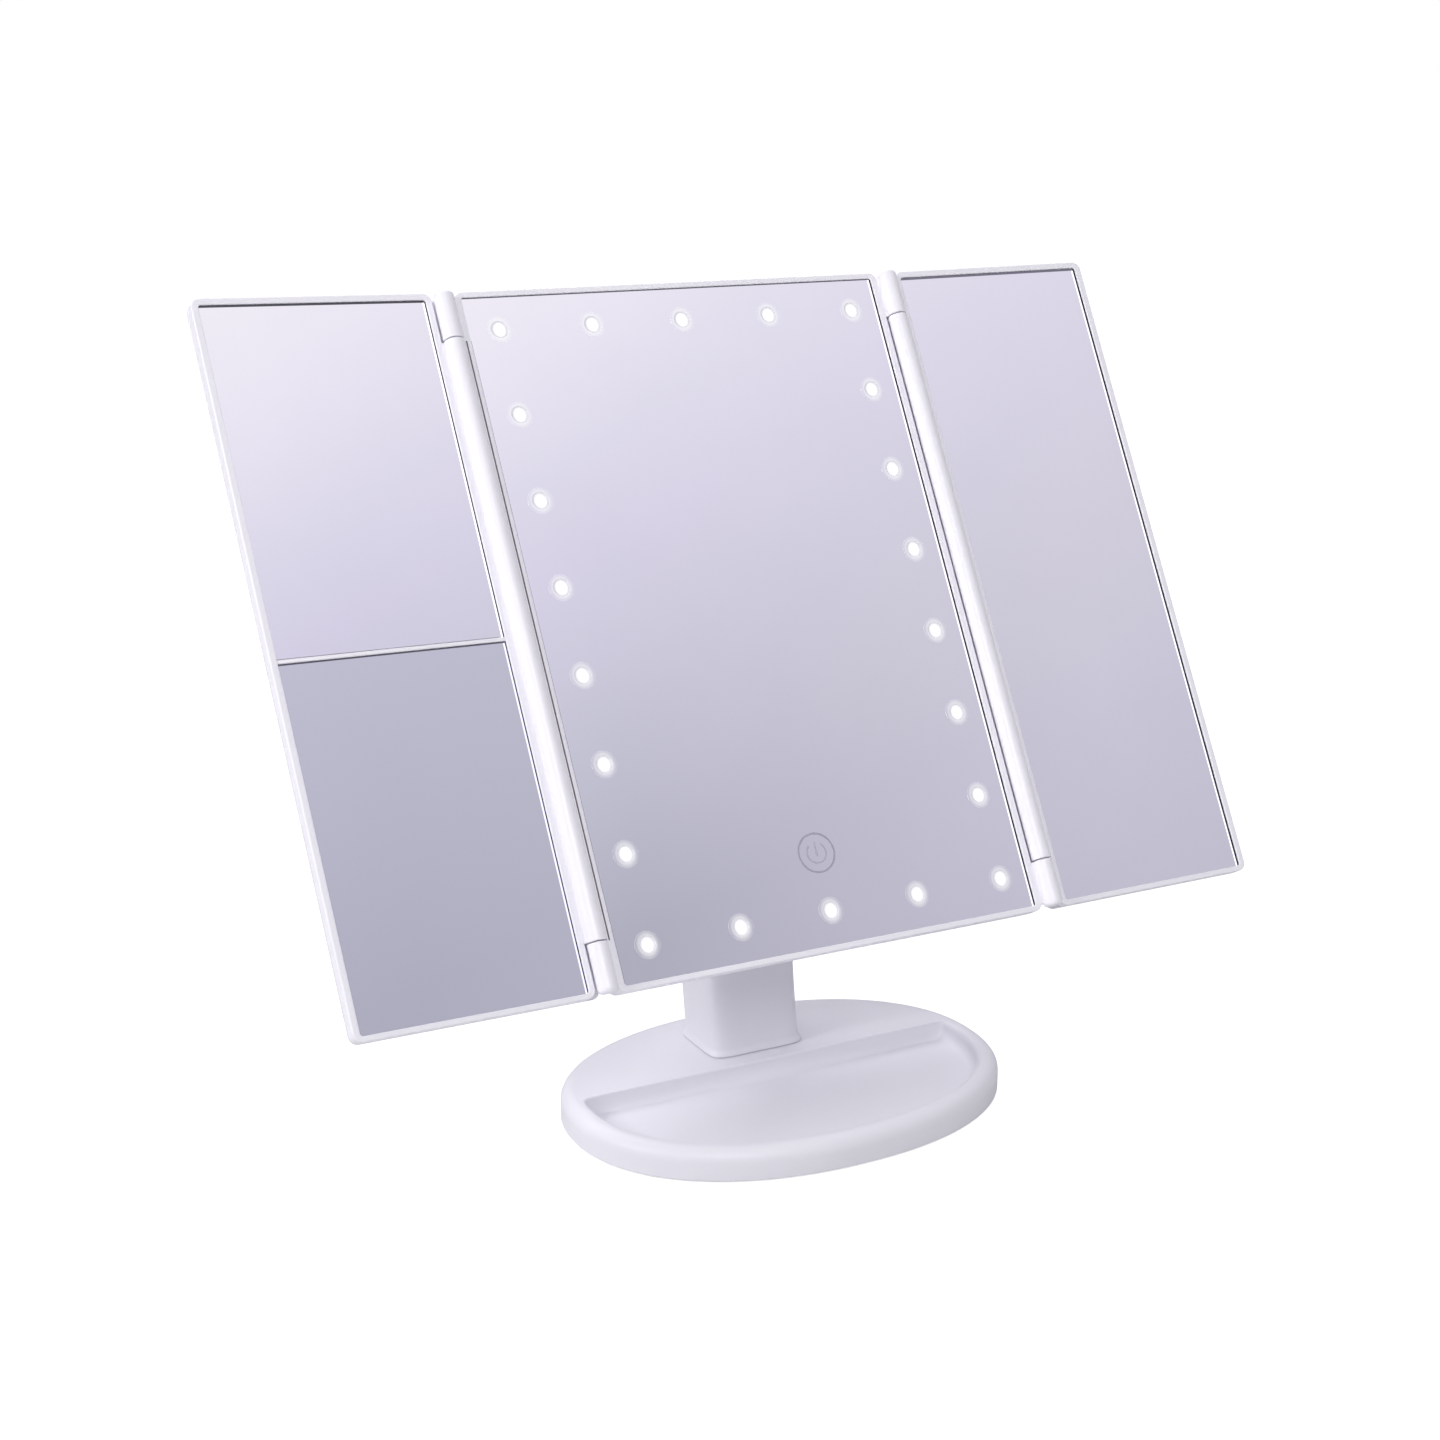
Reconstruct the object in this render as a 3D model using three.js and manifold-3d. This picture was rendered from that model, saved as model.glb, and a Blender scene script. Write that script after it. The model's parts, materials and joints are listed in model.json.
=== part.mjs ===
import * as THREE from 'three';
import { mergeVertices } from 'three/addons/utils/BufferGeometryUtils.js';
import Module from 'manifold-3d';

const wasm = await Module();
wasm.setup();

// A three-panel folding make-up mirror with lights, on a necked oval tray base.
// Millimetres, +Z up, table top at z = 0 under the middle of the base, mirrors facing -Y.

// Clearances
const seatGap = 0.3;
const glassGap = 0.25;
const turnGap = 0.35;
const boreGap = 0.3;
const cutOver = 5;
const joinOver = 1;
const edgeBreak = 0.5;

// Pose in the photograph
const panelTilt = 31;
const leftWingFold = 3;
const rightWingFold = 1;

// Base
const baseHalfWidth = 80.5;
const baseHalfDepth = 58.5;
const baseRoundness = 2.18;
const baseHeight = 11;
const baseEdgeRadius = 4.5;
const baseWall = 2.2;
const baseTopWall = 2.4;
const coverThickness = 2;
const ballastThickness = 5.4;
const ballastHalfWidth = 46;
const ballastWallGap = 2.4;

// Tray recess in the base
const trayInset = 7.4;
const trayBack = 9;
const trayDepth = 6.5;
const trayCorner = 3;
const trayLip = 1.8;
const trayFloorRound = 1.5;
const trayFloorWall = 1.8;
const trayWall = 1.8;

// Feet and base screws
const footRadius = 5;
const footStand = 0.8;
const footSeatDepth = 0.6;
const footInset = 13;
const footAngle = 32;
const baseScrewInset = 5.2;
const baseScrewFrontAngle = 48;
const baseScrewRearAngle = 40;
const baseScrewPost = 2.6;
const baseScrewLength = 6;

// Neck
const neckFootY = 30;
const neckFootHalfWidth = 17.1;
const neckFootHalfDepth = 14;
const neckRoundness = 9;
const neckSkirt = 0.9;
const neckSkirtHeight = 2.2;
const neckLean = 10.5;
const neckFootReach = 55;
const neckHeadReach = 58;
const neckHeadLean = 2.8;
const neckCollarAlong = 0.2;
const neckCollar = 2.2;
const neckHeadHalfWidth = 14.2;
const neckHeadRadius = 8;
const neckTenonHalfWidth = 11.5;
const neckTenonHalfDepth = 9;
const neckTenonCorner = 2;
const neckTenonLength = 5.4;
const neckSocketWall = 3;
const neckSocketFloor = 1.6;
const neckScrewSpread = 14;
const neckStations = [0.1, 0.4, 0.55, 0.7, 0.85, 1];
const neckTaperEnd = 0.95;
const neckSkirtStops = [
  { share: 0, grow: 1 },
  { share: 0.4, grow: 1 },
  { share: 0.7, grow: 0.25 },
  { share: 1, grow: 0 },
];

// Tilt hinge
const axisY = 37.7;
const axisHeight = 168.5;
const axisBehindGlass = 15;
const axleRadius = 3;
const axleHeadRadius = 5;
const axleHeadThickness = 2.6;
const washerThickness = 1;
const washerRadius = 7;
const hingeBossWidth = 16;
const nutRadius = 5.6;
const nutSides = 6;
const nutThickness = 4;
const axleBeyondNut = 1;

// Centre mirror and its light windows
const mirrorHalfWidth = 78.2;
const mirrorHeight = 233.2;
const mirrorBelowAxis = 121.6;
const glassThickness = 2;
const glassCorner = 0.6;
const windowColumns = 5;
const windowRows = 8;
const windowInsetSide = 11;
const windowInsetEnd = 11.6;
const windowRadius = 3.9;
const studRadius = 3.5;
const studRecess = 0.4;
const diffuserThickness = 0.6;
const diffuserInset = 1;

// Light board and touch switch
const boardBand = 5;
const boardThickness = 1;
const lightSize = 5;
const lightHeight = 0.8;
const touchAboveMirrorEdge = 31.6;
const touchHalfSize = 9;
const touchCorner = 2;
const touchThickness = 1.4;

// Frames round the glass
const bezelSide = 2.2;
const bezelEnd = 1.65;
const bezelLip = 0.8;
const bezelRound = 0.5;
const frameCorner = 3;
const frameDepth = 5;
const ledgeWidth = 2.5;

// Back shell
const shellInset = 0.4;
const shellBack = 14;
const shellEdgeRadius = 5;
const shellInnerCorner = 1;
const shellWall = 2;
const slotHalfWidth = 19.8;
const slotFloorDepth = 6.5;
const slotWall = 2;
const slotAboveAxis = 10.5;
const bossSetBack = 0.8;

// Raised housing on the back shell
const housingHalfWidth = 45;
const housingBelowAxis = 14;
const housingAboveAxis = 90;
const housingRise = 9.5;
const housingCorner = 12;
const housingEdgeRadius = 4;
const housingFlare = 2.5;

// Shell screws
const shellScrewPost = 2.6;
const shellScrewHeights = [-80, -5, 70];
const shellPostLength = 3;
const shellScrewSink = 0.4;

// Small screws
const screwRadius = 1.1;
const screwHeadRadius = 1.9;
const screwHeadHeight = 1;
const screwHeadRound = 0.3;

// Battery compartment
const cellCount = 4;
const cellRadius = 7.1;
const cellLength = 49.2;
const nubRadius = 2.75;
const nubLength = 1.1;
const cellSpacing = 0.6;
const wellAboveAxis = 18;
const wellHalfLength = 29;
const wellFloorDepth = 7.2;
const wellWall = 2;
const contactThickness = 0.5;
const contactWidth = 7;
const contactSpan = 11;

// Battery door
const doorThickness = 1.5;
const doorHalfWidth = 33;
const doorAboveAxis = 12.3;
const tongueInner = 26;
const tongueOuter = 31;
const tongueLength = 5;
const tongueThickness = 1.3;
const tongueRoot = 2;
const tongueSink = 0.5;
const doorTravel = 8;
const gripGrooves = 4;
const gripHalfWidth = 9;
const gripPitch = 2.4;
const gripDepth = 0.5;

// Power inlet and control board
const inletAboveAxis = 14;
const inletWidth = 7.5;
const inletHeight = 2.7;
const inletLength = 7;
const inletWall = 0.35;
const inletFloor = 1.5;
const inletTongueWidth = 5;
const inletTongueSetBack = 1;
const inletSetBack = 0.5;
const inletBehindFlare = 0.6;
const controlLength = 62;
const controlThickness = 1.6;
const controlSideGap = 1.7;
const controlPostShares = [0.35, 0.85];
const controlPost = 2;

// Wing hinges
const barrelRadius = 3.5;
const barrelLift = 1.5;
const knuckleLength = 16.9;
const knuckleGap = 0.4;
const knuckleEndRound = 1.6;
const knuckleSetBack = 0.5;
const hingeWebDepth = 2.6;
const hingeWebRise = 0.6;
const hingeLipDepth = 2.4;
const hingeLipThickness = 2.4;
const hingePinRadius = 1;
const hingePinDepth = 13;

// Wings
const wingMeetGap = 0.35;
const wingBezelInner = 2;
const wingBezelOuter = 2.1;
const wingBezelBottom = 1.55;
const wingBezelTop = 1.95;
const wingFrameDepth = 3.4;
const wingBackThickness = 1.9;
const wingBackEdge = 1.2;
const wingBackFromAxis = 0.6;
const dividerHeight = 116.6;
const dividerWidth = 1.3;
const dividerLip = 0.5;

// Facets of round forms
const ovalSteps = 48;
const neckSteps = 24;
const roundSteps = 16;
const smallSteps = 12;
const screwSteps = 8;
const windowSteps = 12;
const cornerSteps = 3;

// Sizes that follow from the ones above
const shellBottomZ = footStand;
const baseTopZ = shellBottomZ + baseHeight;
const trayFloorZ = baseTopZ - trayDepth;
const coverTopZ = shellBottomZ + coverThickness;
const neckFootZ = baseTopZ + seatGap;
const mirrorBottom = -mirrorBelowAxis;
const mirrorTop = mirrorBottom + mirrorHeight;
const frameHalfWidth = mirrorHalfWidth + glassGap + bezelSide;
const frameBottom = mirrorBottom - glassGap - bezelEnd;
const frameTop = mirrorTop + glassGap + bezelEnd;
const glassBack = -glassThickness;
const diffuserBack = glassBack - seatGap - diffuserThickness;
const lightFront = diffuserBack - seatGap;
const boardFront = lightFront - lightHeight;
const ledgeFront = diffuserBack - seatGap;
const frameBack = -frameDepth;
const shellFront = frameBack - seatGap;
const shellHalfWidth = frameHalfWidth - shellInset;
const shellBottom = frameBottom + shellInset;
const shellTop = frameTop - shellInset;
const housingBack = -shellBack - housingRise;
const doorFront = housingBack + doorThickness;
const doorSeat = doorFront + seatGap;
const cellPitch = 2 * cellRadius + cellSpacing;
const wellHeight = cellCount * cellPitch;
const wellTop = wellAboveAxis + wellHeight;
const cellZ = -wellFloorDepth - seatGap - cellRadius;
const bossInner = neckHeadHalfWidth + 2 * seatGap + washerThickness;
const bossOuter = bossInner + hingeBossWidth;
const windowRight = mirrorHalfWidth - windowInsetSide;
const windowBottom = mirrorBottom + windowInsetEnd;
const windowTop = mirrorTop - windowInsetEnd;
const hingeX = frameHalfWidth + turnGap + barrelRadius;
const boardHalfWidth = windowRight + boardBand;
const shellScrewX = boardHalfWidth + seatGap + shellScrewPost;
const wingInner = barrelRadius + turnGap;
const wingOuter = hingeX - wingMeetGap;
const wingGlassInner = wingInner + wingBezelInner + glassGap;
const wingGlassOuter = wingOuter - wingBezelOuter - glassGap;
const wingGlassBottom = frameBottom + wingBezelBottom + glassGap;
const wingGlassTop = frameTop - wingBezelTop - glassGap;
const wingLedgeFront = glassBack - seatGap;
const dividerY = mirrorBottom + dividerHeight;

// Materials
const whitePlastic = new THREE.MeshStandardMaterial({ color: 0xf0eff5, roughness: 0.38, metalness: 0 });
const mirrorGlass = new THREE.MeshStandardMaterial({ color: 0xdcdce8, roughness: 0.04, metalness: 1 });
const lightPlastic = new THREE.MeshStandardMaterial({ color: 0xffffff, roughness: 0.3, metalness: 0 });
const circuitBoard = new THREE.MeshStandardMaterial({ color: 0x2f6b45, roughness: 0.55, metalness: 0 });
const steel = new THREE.MeshStandardMaterial({ color: 0xb9bcc2, roughness: 0.3, metalness: 1 });
const nickel = new THREE.MeshStandardMaterial({ color: 0xd3d0c8, roughness: 0.28, metalness: 1 });
const rubber = new THREE.MeshStandardMaterial({ color: 0xdcdce0, roughness: 0.85, metalness: 0 });
const cellJacket = new THREE.MeshStandardMaterial({ color: 0x5c6470, roughness: 0.35, metalness: 0.4 });
const washerPlastic = new THREE.MeshStandardMaterial({ color: 0x8d9096, roughness: 0.6, metalness: 0 });

function solid(geometry) {
  const bare = geometry.clone();
  bare.deleteAttribute('normal');
  bare.deleteAttribute('uv');
  const merged = mergeVertices(bare, 1e-4);
  const vertProperties = new Float32Array(merged.attributes.position.array);
  const triVerts = new Uint32Array(merged.index.array);
  return new wasm.Manifold(new wasm.Mesh({ numProp: 3, vertProperties, triVerts }));
}

function geometryOf(manifold) {
  const { vertProperties, triVerts } = manifold.getMesh();
  const geometry = new THREE.BufferGeometry();
  geometry.setAttribute('position', new THREE.BufferAttribute(new Float32Array(vertProperties), 3));
  geometry.setIndex(new THREE.BufferAttribute(new Uint32Array(triVerts), 1));
  geometry.computeVertexNormals();
  return geometry;
}

function joined(first, ...others) {
  return others.reduce((sum, piece) => sum.add(piece), first);
}

function cutBy(first, ...others) {
  return others.reduce((rest, piece) => rest.subtract(piece), first);
}

function part(name, shape, material) {
  const geometry = shape.isBufferGeometry ? shape : geometryOf(shape);
  const mesh = new THREE.Mesh(geometry, material);
  mesh.name = name;
  return mesh;
}

function box(xFrom, xTo, yFrom, yTo, zFrom, zTo) {
  const geometry = new THREE.BoxGeometry(xTo - xFrom, yTo - yFrom, zTo - zFrom);
  geometry.translate((xFrom + xTo) / 2, (yFrom + yTo) / 2, (zFrom + zTo) / 2);
  return solid(geometry);
}

// Two numbers in rising order.
function between(a, b) {
  return [Math.min(a, b), Math.max(a, b)];
}

// A round bar from one end to the other along X, Y or Z, at the two other coordinates.
function rod(axis, radius, from, to, across, up, sides = roundSteps) {
  const geometry = new THREE.CylinderGeometry(radius, radius, to - from, sides);
  const middle = (from + to) / 2;
  if (axis === 'x') {
    geometry.rotateZ(-Math.PI / 2);
    geometry.translate(middle, across, up);
  } else if (axis === 'y') {
    geometry.translate(across, middle, up);
  } else {
    geometry.rotateX(Math.PI / 2);
    geometry.translate(across, up, middle);
  }
  return solid(geometry);
}

function roundedShape(left, right, bottom, top, radius) {
  const shape = new THREE.Shape();
  shape.absarc(right - radius, bottom + radius, radius, -Math.PI / 2, 0);
  shape.absarc(right - radius, top - radius, radius, 0, Math.PI / 2);
  shape.absarc(left + radius, top - radius, radius, Math.PI / 2, Math.PI);
  shape.absarc(left + radius, bottom + radius, radius, Math.PI, 1.5 * Math.PI);
  return shape;
}

function slab(shape, back, front, curveSegments = cornerSteps) {
  const options = { depth: front - back, bevelEnabled: false, curveSegments };
  const geometry = new THREE.ExtrudeGeometry(shape, options);
  return solid(geometry.translate(0, 0, back));
}

function roundedPlate(left, right, bottom, top, radius, back, front) {
  return slab(roundedShape(left, right, bottom, top, radius), back, front);
}

// Closed rings of points, one above the other, become a solid with flat ends. Rings are convex.
function loft(rings) {
  const count = rings[0].length;
  const points = rings.flat();
  const faces = [];
  for (let ring = 0; ring + 1 < rings.length; ring += 1) {
    for (let i = 0; i < count; i += 1) {
      const a = ring * count + i;
      const b = ring * count + ((i + 1) % count);
      faces.push(a, b, b + count, a, b + count, a + count);
    }
  }
  const last = (rings.length - 1) * count;
  for (let i = 1; i + 1 < count; i += 1) {
    faces.push(0, i + 1, i, last, last + i, last + i + 1);
  }
  const geometry = new THREE.BufferGeometry().setFromPoints(points);
  geometry.setIndex(faces);
  return solid(geometry);
}

function ovalRing(halfWidth, halfDepth, roundness, middleY, z, steps) {
  const ring = [];
  for (let i = 0; i < steps; i += 1) {
    const angle = (2 * Math.PI * i) / steps;
    const c = Math.cos(angle);
    const s = Math.sin(angle);
    const x = halfWidth * Math.sign(c) * Math.abs(c) ** (2 / roundness);
    const y = halfDepth * Math.sign(s) * Math.abs(s) ** (2 / roundness);
    ring.push(new THREE.Vector3(x, middleY + y, z));
  }
  return ring;
}

function baseRing(inset, z) {
  return ovalRing(baseHalfWidth - inset, baseHalfDepth - inset, baseRoundness, 0, z, ovalSteps);
}

function roundedRing(left, right, bottom, top, radius, z) {
  const ring = roundedShape(left, right, bottom, top, radius).getPoints(cornerSteps);
  ring.pop();
  return ring.map((point) => new THREE.Vector3(point.x, point.y, z));
}

// Insets and heights of a quarter-round edge, from the side wall to the face.
function quarterRound(radius, steps) {
  const stops = [];
  for (let i = 0; i <= steps; i += 1) {
    const angle = (Math.PI / 2) * (i / steps);
    stops.push({ inset: radius * (1 - Math.cos(angle)), rise: radius * Math.sin(angle) });
  }
  return stops;
}

function mirroredX(piece) {
  const geometry = geometryOf(piece);
  geometry.scale(-1, 1, 1);
  const { array } = geometry.index;
  for (let i = 0; i < array.length; i += 3) {
    [array[i], array[i + 1]] = [array[i + 1], array[i]];
  }
  return solid(geometry);
}

function turned(profile, sides = roundSteps) {
  return new THREE.LatheGeometry(profile.map(([radius, along]) => new THREE.Vector2(radius, along)), sides);
}

// A screw along +Z with its head underneath, starting at z = 0, its shank so long.
function screwGeometry(length) {
  const tip = screwHeadHeight + length;
  const profile = [
    [0, 0],
    [screwHeadRadius - screwHeadRound, 0],
    [screwHeadRadius, screwHeadRound],
    [screwHeadRadius, screwHeadHeight],
    [screwRadius, screwHeadHeight],
    [screwRadius, tip - screwRadius],
    [0, tip],
  ];
  return turned(profile, screwSteps).rotateX(Math.PI / 2);
}

// The tray outline: the base's oval moved in, with a straight back edge and rounded rear corners.
function trayRing(grow, z) {
  const halfWidth = baseHalfWidth - trayInset + grow;
  const halfDepth = baseHalfDepth - trayInset + grow;
  const back = trayBack + grow;
  const corner = trayCorner + grow;
  const centreY = back - corner;
  const innerX = halfWidth - corner;
  const innerY = halfDepth - corner;
  const centreX = innerX * (1 - Math.abs(centreY / innerY) ** baseRoundness) ** (1 / baseRoundness);
  const slopeX = centreX ** (baseRoundness - 1) / innerX ** baseRoundness;
  const slopeY = Math.sign(centreY) * Math.abs(centreY) ** (baseRoundness - 1) / innerY ** baseRoundness;
  const tangent = Math.atan2(slopeY, slopeX);
  const endX = centreX + corner * Math.cos(tangent);
  const endY = centreY + corner * Math.sin(tangent);
  const power = baseRoundness / 2;
  const rise = Math.sign(endY) * Math.abs(endY / halfDepth) ** power;
  const start = Math.atan2(rise, (endX / halfWidth) ** power);
  const rightCorner = [];
  const cornerPoints = 4;
  for (let i = 0; i <= cornerPoints; i += 1) {
    const angle = tangent + (Math.PI / 2 - tangent) * (i / cornerPoints);
    rightCorner.push([centreX + corner * Math.cos(angle), centreY + corner * Math.sin(angle)]);
  }
  const leftCorner = rightCorner.map(([x, y]) => [-x, y]).reverse();
  const front = [];
  const frontPoints = ovalSteps / 2;
  for (let i = 1; i < frontPoints; i += 1) {
    const angle = Math.PI - start + (Math.PI + 2 * start) * (i / frontPoints);
    const c = Math.cos(angle);
    const s = Math.sin(angle);
    const x = halfWidth * Math.sign(c) * Math.abs(c) ** (1 / power);
    const y = halfDepth * Math.sign(s) * Math.abs(s) ** (1 / power);
    front.push([x, y]);
  }
  return [...rightCorner, ...leftCorner, ...front].map(([x, y]) => new THREE.Vector3(x, y, z));
}

function trayPocket() {
  const floorEdge = quarterRound(trayFloorRound, 2).reverse();
  const lip = quarterRound(trayLip, 3);
  const rings = [
    ...floorEdge.map(({ inset, rise }) => trayRing(-inset, trayFloorZ + trayFloorRound - rise)),
    ...lip.map(({ inset, rise }) => trayRing(inset, baseTopZ - trayLip + rise)),
    trayRing(trayLip, baseTopZ + cutOver),
  ];
  return loft(rings);
}

function baseOuter() {
  const edge = quarterRound(baseEdgeRadius, 4);
  const straightTop = baseTopZ - baseEdgeRadius;
  const rings = edge.map(({ inset, rise }) => baseRing(inset, straightTop + rise));
  return loft([baseRing(0, shellBottomZ), ...rings]);
}

function baseHollow() {
  const innerRadius = baseEdgeRadius - baseWall;
  const ceiling = baseTopZ - baseTopWall;
  const edge = quarterRound(innerRadius, 1);
  const rings = edge.map(({ inset, rise }) => baseRing(baseWall + inset, ceiling - innerRadius + rise));
  return loft([baseRing(baseWall, shellBottomZ - cutOver), ...rings]);
}

// A point on the base's oval, moved in, at so many degrees round from +X.
function basePlace(inset, degrees) {
  const angle = THREE.MathUtils.degToRad(degrees);
  const c = Math.cos(angle);
  const s = Math.sin(angle);
  const power = 2 / baseRoundness;
  const x = (baseHalfWidth - inset) * Math.sign(c) * Math.abs(c) ** power;
  const y = (baseHalfDepth - inset) * Math.sign(s) * Math.abs(s) ** power;
  return [x, y];
}

function baseScrewPlaces() {
  const angles = [-90 - baseScrewFrontAngle, -90 + baseScrewFrontAngle, 90 + baseScrewRearAngle,
    90 - baseScrewRearAngle];
  return angles.map((degrees) => basePlace(baseScrewInset, degrees));
}

function footPlaces() {
  const angles = [180 + footAngle, -footAngle, 180 - footAngle, footAngle];
  return angles.map((degrees) => basePlace(footInset, degrees));
}

const socketFloorZ = coverTopZ + seatGap + screwHeadHeight + seatGap;
const socketTopZ = socketFloorZ + neckSocketFloor;
const socketHalfWidth = neckTenonHalfWidth + boreGap + neckSocketWall;
const socketHalfDepth = neckTenonHalfDepth + boreGap + neckSocketWall;

function neckSocket() {
  return box(-socketHalfWidth, socketHalfWidth, neckFootY - socketHalfDepth, neckFootY + socketHalfDepth,
    socketFloorZ, baseTopZ - joinOver);
}

function neckTenonSpace(grow, from, to) {
  const x = neckTenonHalfWidth + grow;
  const y = neckTenonHalfDepth + grow;
  return roundedPlate(-x, x, neckFootY - y, neckFootY + y, neckTenonCorner, from, to);
}

function neckScrewPlaces() {
  return [[-neckScrewSpread / 2, neckFootY], [neckScrewSpread / 2, neckFootY]];
}

function screwHole(x, y, from, to) {
  return rod('z', screwRadius + boreGap, from, to, x, y, screwSteps);
}

function baseShell() {
  const trayUnderside = loft([trayRing(trayWall, trayFloorZ - trayFloorWall), trayRing(trayWall, baseTopZ)]);
  const outer = baseOuter();
  const postFoot = coverTopZ + seatGap;
  const posts = baseScrewPlaces().map(([x, y]) => {
    return rod('z', baseScrewPost, postFoot, baseTopZ, x, y, screwSteps);
  });
  const hollow = cutBy(baseHollow(), trayUnderside, neckSocket(), ...posts);
  const screwTop = postFoot + baseScrewLength;
  const screwHoles = baseScrewPlaces().map(([x, y]) => screwHole(x, y, 0, screwTop));
  const neckHoles = neckScrewPlaces().map(([x, y]) => screwHole(x, y, 0, socketTopZ + joinOver));
  const tenonHole = neckTenonSpace(boreGap, socketTopZ, baseTopZ + cutOver);
  return cutBy(outer, hollow, trayPocket(), tenonHole, ...screwHoles, ...neckHoles);
}

function baseBottomCover() {
  const plate = loft([baseRing(baseWall + seatGap, shellBottomZ), baseRing(baseWall + seatGap, coverTopZ)]);
  const sinkTop = shellBottomZ + screwHeadHeight + seatGap;
  const headRadius = screwHeadRadius + boreGap;
  const sinks = baseScrewPlaces().map(([x, y]) => rod('z', headRadius, 0, sinkTop, x, y, smallSteps));
  const holes = baseScrewPlaces().map(([x, y]) => screwHole(x, y, 0, coverTopZ + cutOver));
  const seats = footPlaces().map(([x, y]) => {
    return rod('z', footRadius + boreGap, 0, shellBottomZ + footSeatDepth, x, y, smallSteps);
  });
  return cutBy(plate, ...sinks, ...holes, ...seats);
}

function ballastPlate() {
  const bottom = coverTopZ + seatGap;
  const inset = baseWall + ballastWallGap;
  const full = loft([baseRing(inset, bottom), baseRing(inset, bottom + ballastThickness)]);
  const front = trayBack + trayWall + seatGap;
  const rear = box(-ballastHalfWidth, ballastHalfWidth, front, baseHalfDepth, 0, baseTopZ);
  const x = socketHalfWidth + seatGap;
  const y = socketHalfDepth + seatGap;
  const space = box(-x, x, neckFootY - y, neckFootY + y, 0, baseTopZ);
  const posts = baseScrewPlaces().map(([postX, postY]) => {
    return rod('z', baseScrewPost + seatGap, 0, baseTopZ, postX, postY, smallSteps);
  });
  return cutBy(full.intersect(rear), space, ...posts);
}

function foot() {
  const height = footStand + footSeatDepth - seatGap;
  const profile = [
    [0, 0],
    [footRadius - edgeBreak, 0],
    [footRadius, edgeBreak],
    [footRadius, height],
    [0, height],
  ];
  return turned(profile, smallSteps).rotateX(Math.PI / 2);
}

// The neck's centre line leans back at the foot and comes upright at the tilt axis.
function neckCentreLine() {
  const lean = THREE.MathUtils.degToRad(neckLean);
  const headLean = THREE.MathUtils.degToRad(neckHeadLean);
  const footPoint = new THREE.Vector2(neckFootY, neckFootZ);
  const headPoint = new THREE.Vector2(axisY, axisHeight);
  const footHandle = new THREE.Vector2(Math.sin(lean), Math.cos(lean)).multiplyScalar(neckFootReach);
  const headHandle = new THREE.Vector2(Math.sin(headLean), -Math.cos(headLean)).multiplyScalar(neckHeadReach);
  return new THREE.CubicBezierCurve(footPoint, footPoint.clone().add(footHandle),
    headPoint.clone().add(headHandle), headPoint);
}

function neckColumn() {
  const line = neckCentreLine();
  const length = line.getLength();
  const collar = quarterRound(neckCollar, 3).map(({ inset, rise }) => {
    return { along: neckCollarAlong + rise / length, grow: inset };
  });
  const skirt = neckSkirtStops.map(({ share, grow }) => {
    return { along: (neckSkirtHeight * share) / length, grow: neckSkirt * grow };
  });
  const shaft = neckStations.map((along) => ({ along, grow: along > neckCollarAlong ? neckCollar : 0 }));
  const stops = [...skirt, ...shaft, ...collar].sort((a, b) => a.along - b.along);
  const rings = stops.map(({ along, grow }) => {
    const point = line.getPoint(along);
    const taper = THREE.MathUtils.smoothstep(along, neckCollarAlong, neckTaperEnd);
    const halfWidth = THREE.MathUtils.lerp(neckFootHalfWidth + grow, neckHeadHalfWidth - seatGap, taper);
    const halfDepth = THREE.MathUtils.lerp(neckFootHalfDepth, neckHeadRadius, taper);
    const skirtGrow = along < neckCollarAlong ? grow : 0;
    return ovalRing(halfWidth, halfDepth + skirtGrow, neckRoundness, point.x, point.y, neckSteps);
  });
  const headHalf = neckHeadHalfWidth;
  const head = rod('x', neckHeadRadius, -headHalf, headHalf, axisY, axisHeight, neckSteps);
  const tenonFoot = socketTopZ + seatGap;
  const tenon = neckTenonSpace(0, tenonFoot, neckFootZ + joinOver);
  const bore = rod('x', axleRadius + boreGap, -headHalf - cutOver, headHalf + cutOver, axisY, axisHeight);
  const holes = neckScrewPlaces().map(([x, y]) => {
    return screwHole(x, y, tenonFoot - joinOver, tenonFoot + neckTenonLength);
  });
  return cutBy(joined(loft(rings), head, tenon), bore, ...holes);
}

function buildBase() {
  const group = new THREE.Group();
  group.add(part('base_shell', baseShell(), whitePlastic));
  group.add(part('base_bottom_cover', baseBottomCover(), whitePlastic));
  group.add(part('ballast_plate', ballastPlate(), steel));
  group.add(part('neck_column', neckColumn(), whitePlastic));
  footPlaces().forEach(([x, y], i) => {
    const piece = part(`base_foot_${i + 1}`, foot(), rubber);
    piece.position.set(x, y, 0);
    group.add(piece);
  });
  const shank = coverThickness + seatGap - screwHeadHeight + baseScrewLength - 2 * seatGap;
  baseScrewPlaces().forEach(([x, y], i) => {
    const piece = part(`base_screw_${i + 1}`, screwGeometry(shank), steel);
    piece.position.set(x, y, shellBottomZ);
    group.add(piece);
  });
  neckScrewPlaces().forEach(([x, y], i) => {
    const screw = screwGeometry(neckSocketFloor + neckTenonLength);
    const piece = part(`neck_screw_${i + 1}`, screw, steel);
    piece.position.set(x, y, socketFloorZ - seatGap - screwHeadHeight);
    group.add(piece);
  });
  return group;
}

// Panel pieces are drawn looking at the glass: x to the right, y up the glass from the tilt
// axis, z out of the glass from its front face.

function windowPlaces() {
  const places = [];
  for (let row = 0; row < windowRows; row += 1) {
    const y = THREE.MathUtils.lerp(windowBottom, windowTop, row / (windowRows - 1));
    const endRow = row === 0 || row === windowRows - 1;
    for (let column = 0; column < windowColumns; column += 1) {
      const sideColumn = column === 0 || column === windowColumns - 1;
      if (endRow || sideColumn) {
        places.push([THREE.MathUtils.lerp(-windowRight, windowRight, column / (windowColumns - 1)), y]);
      }
    }
  }
  return places;
}

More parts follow.
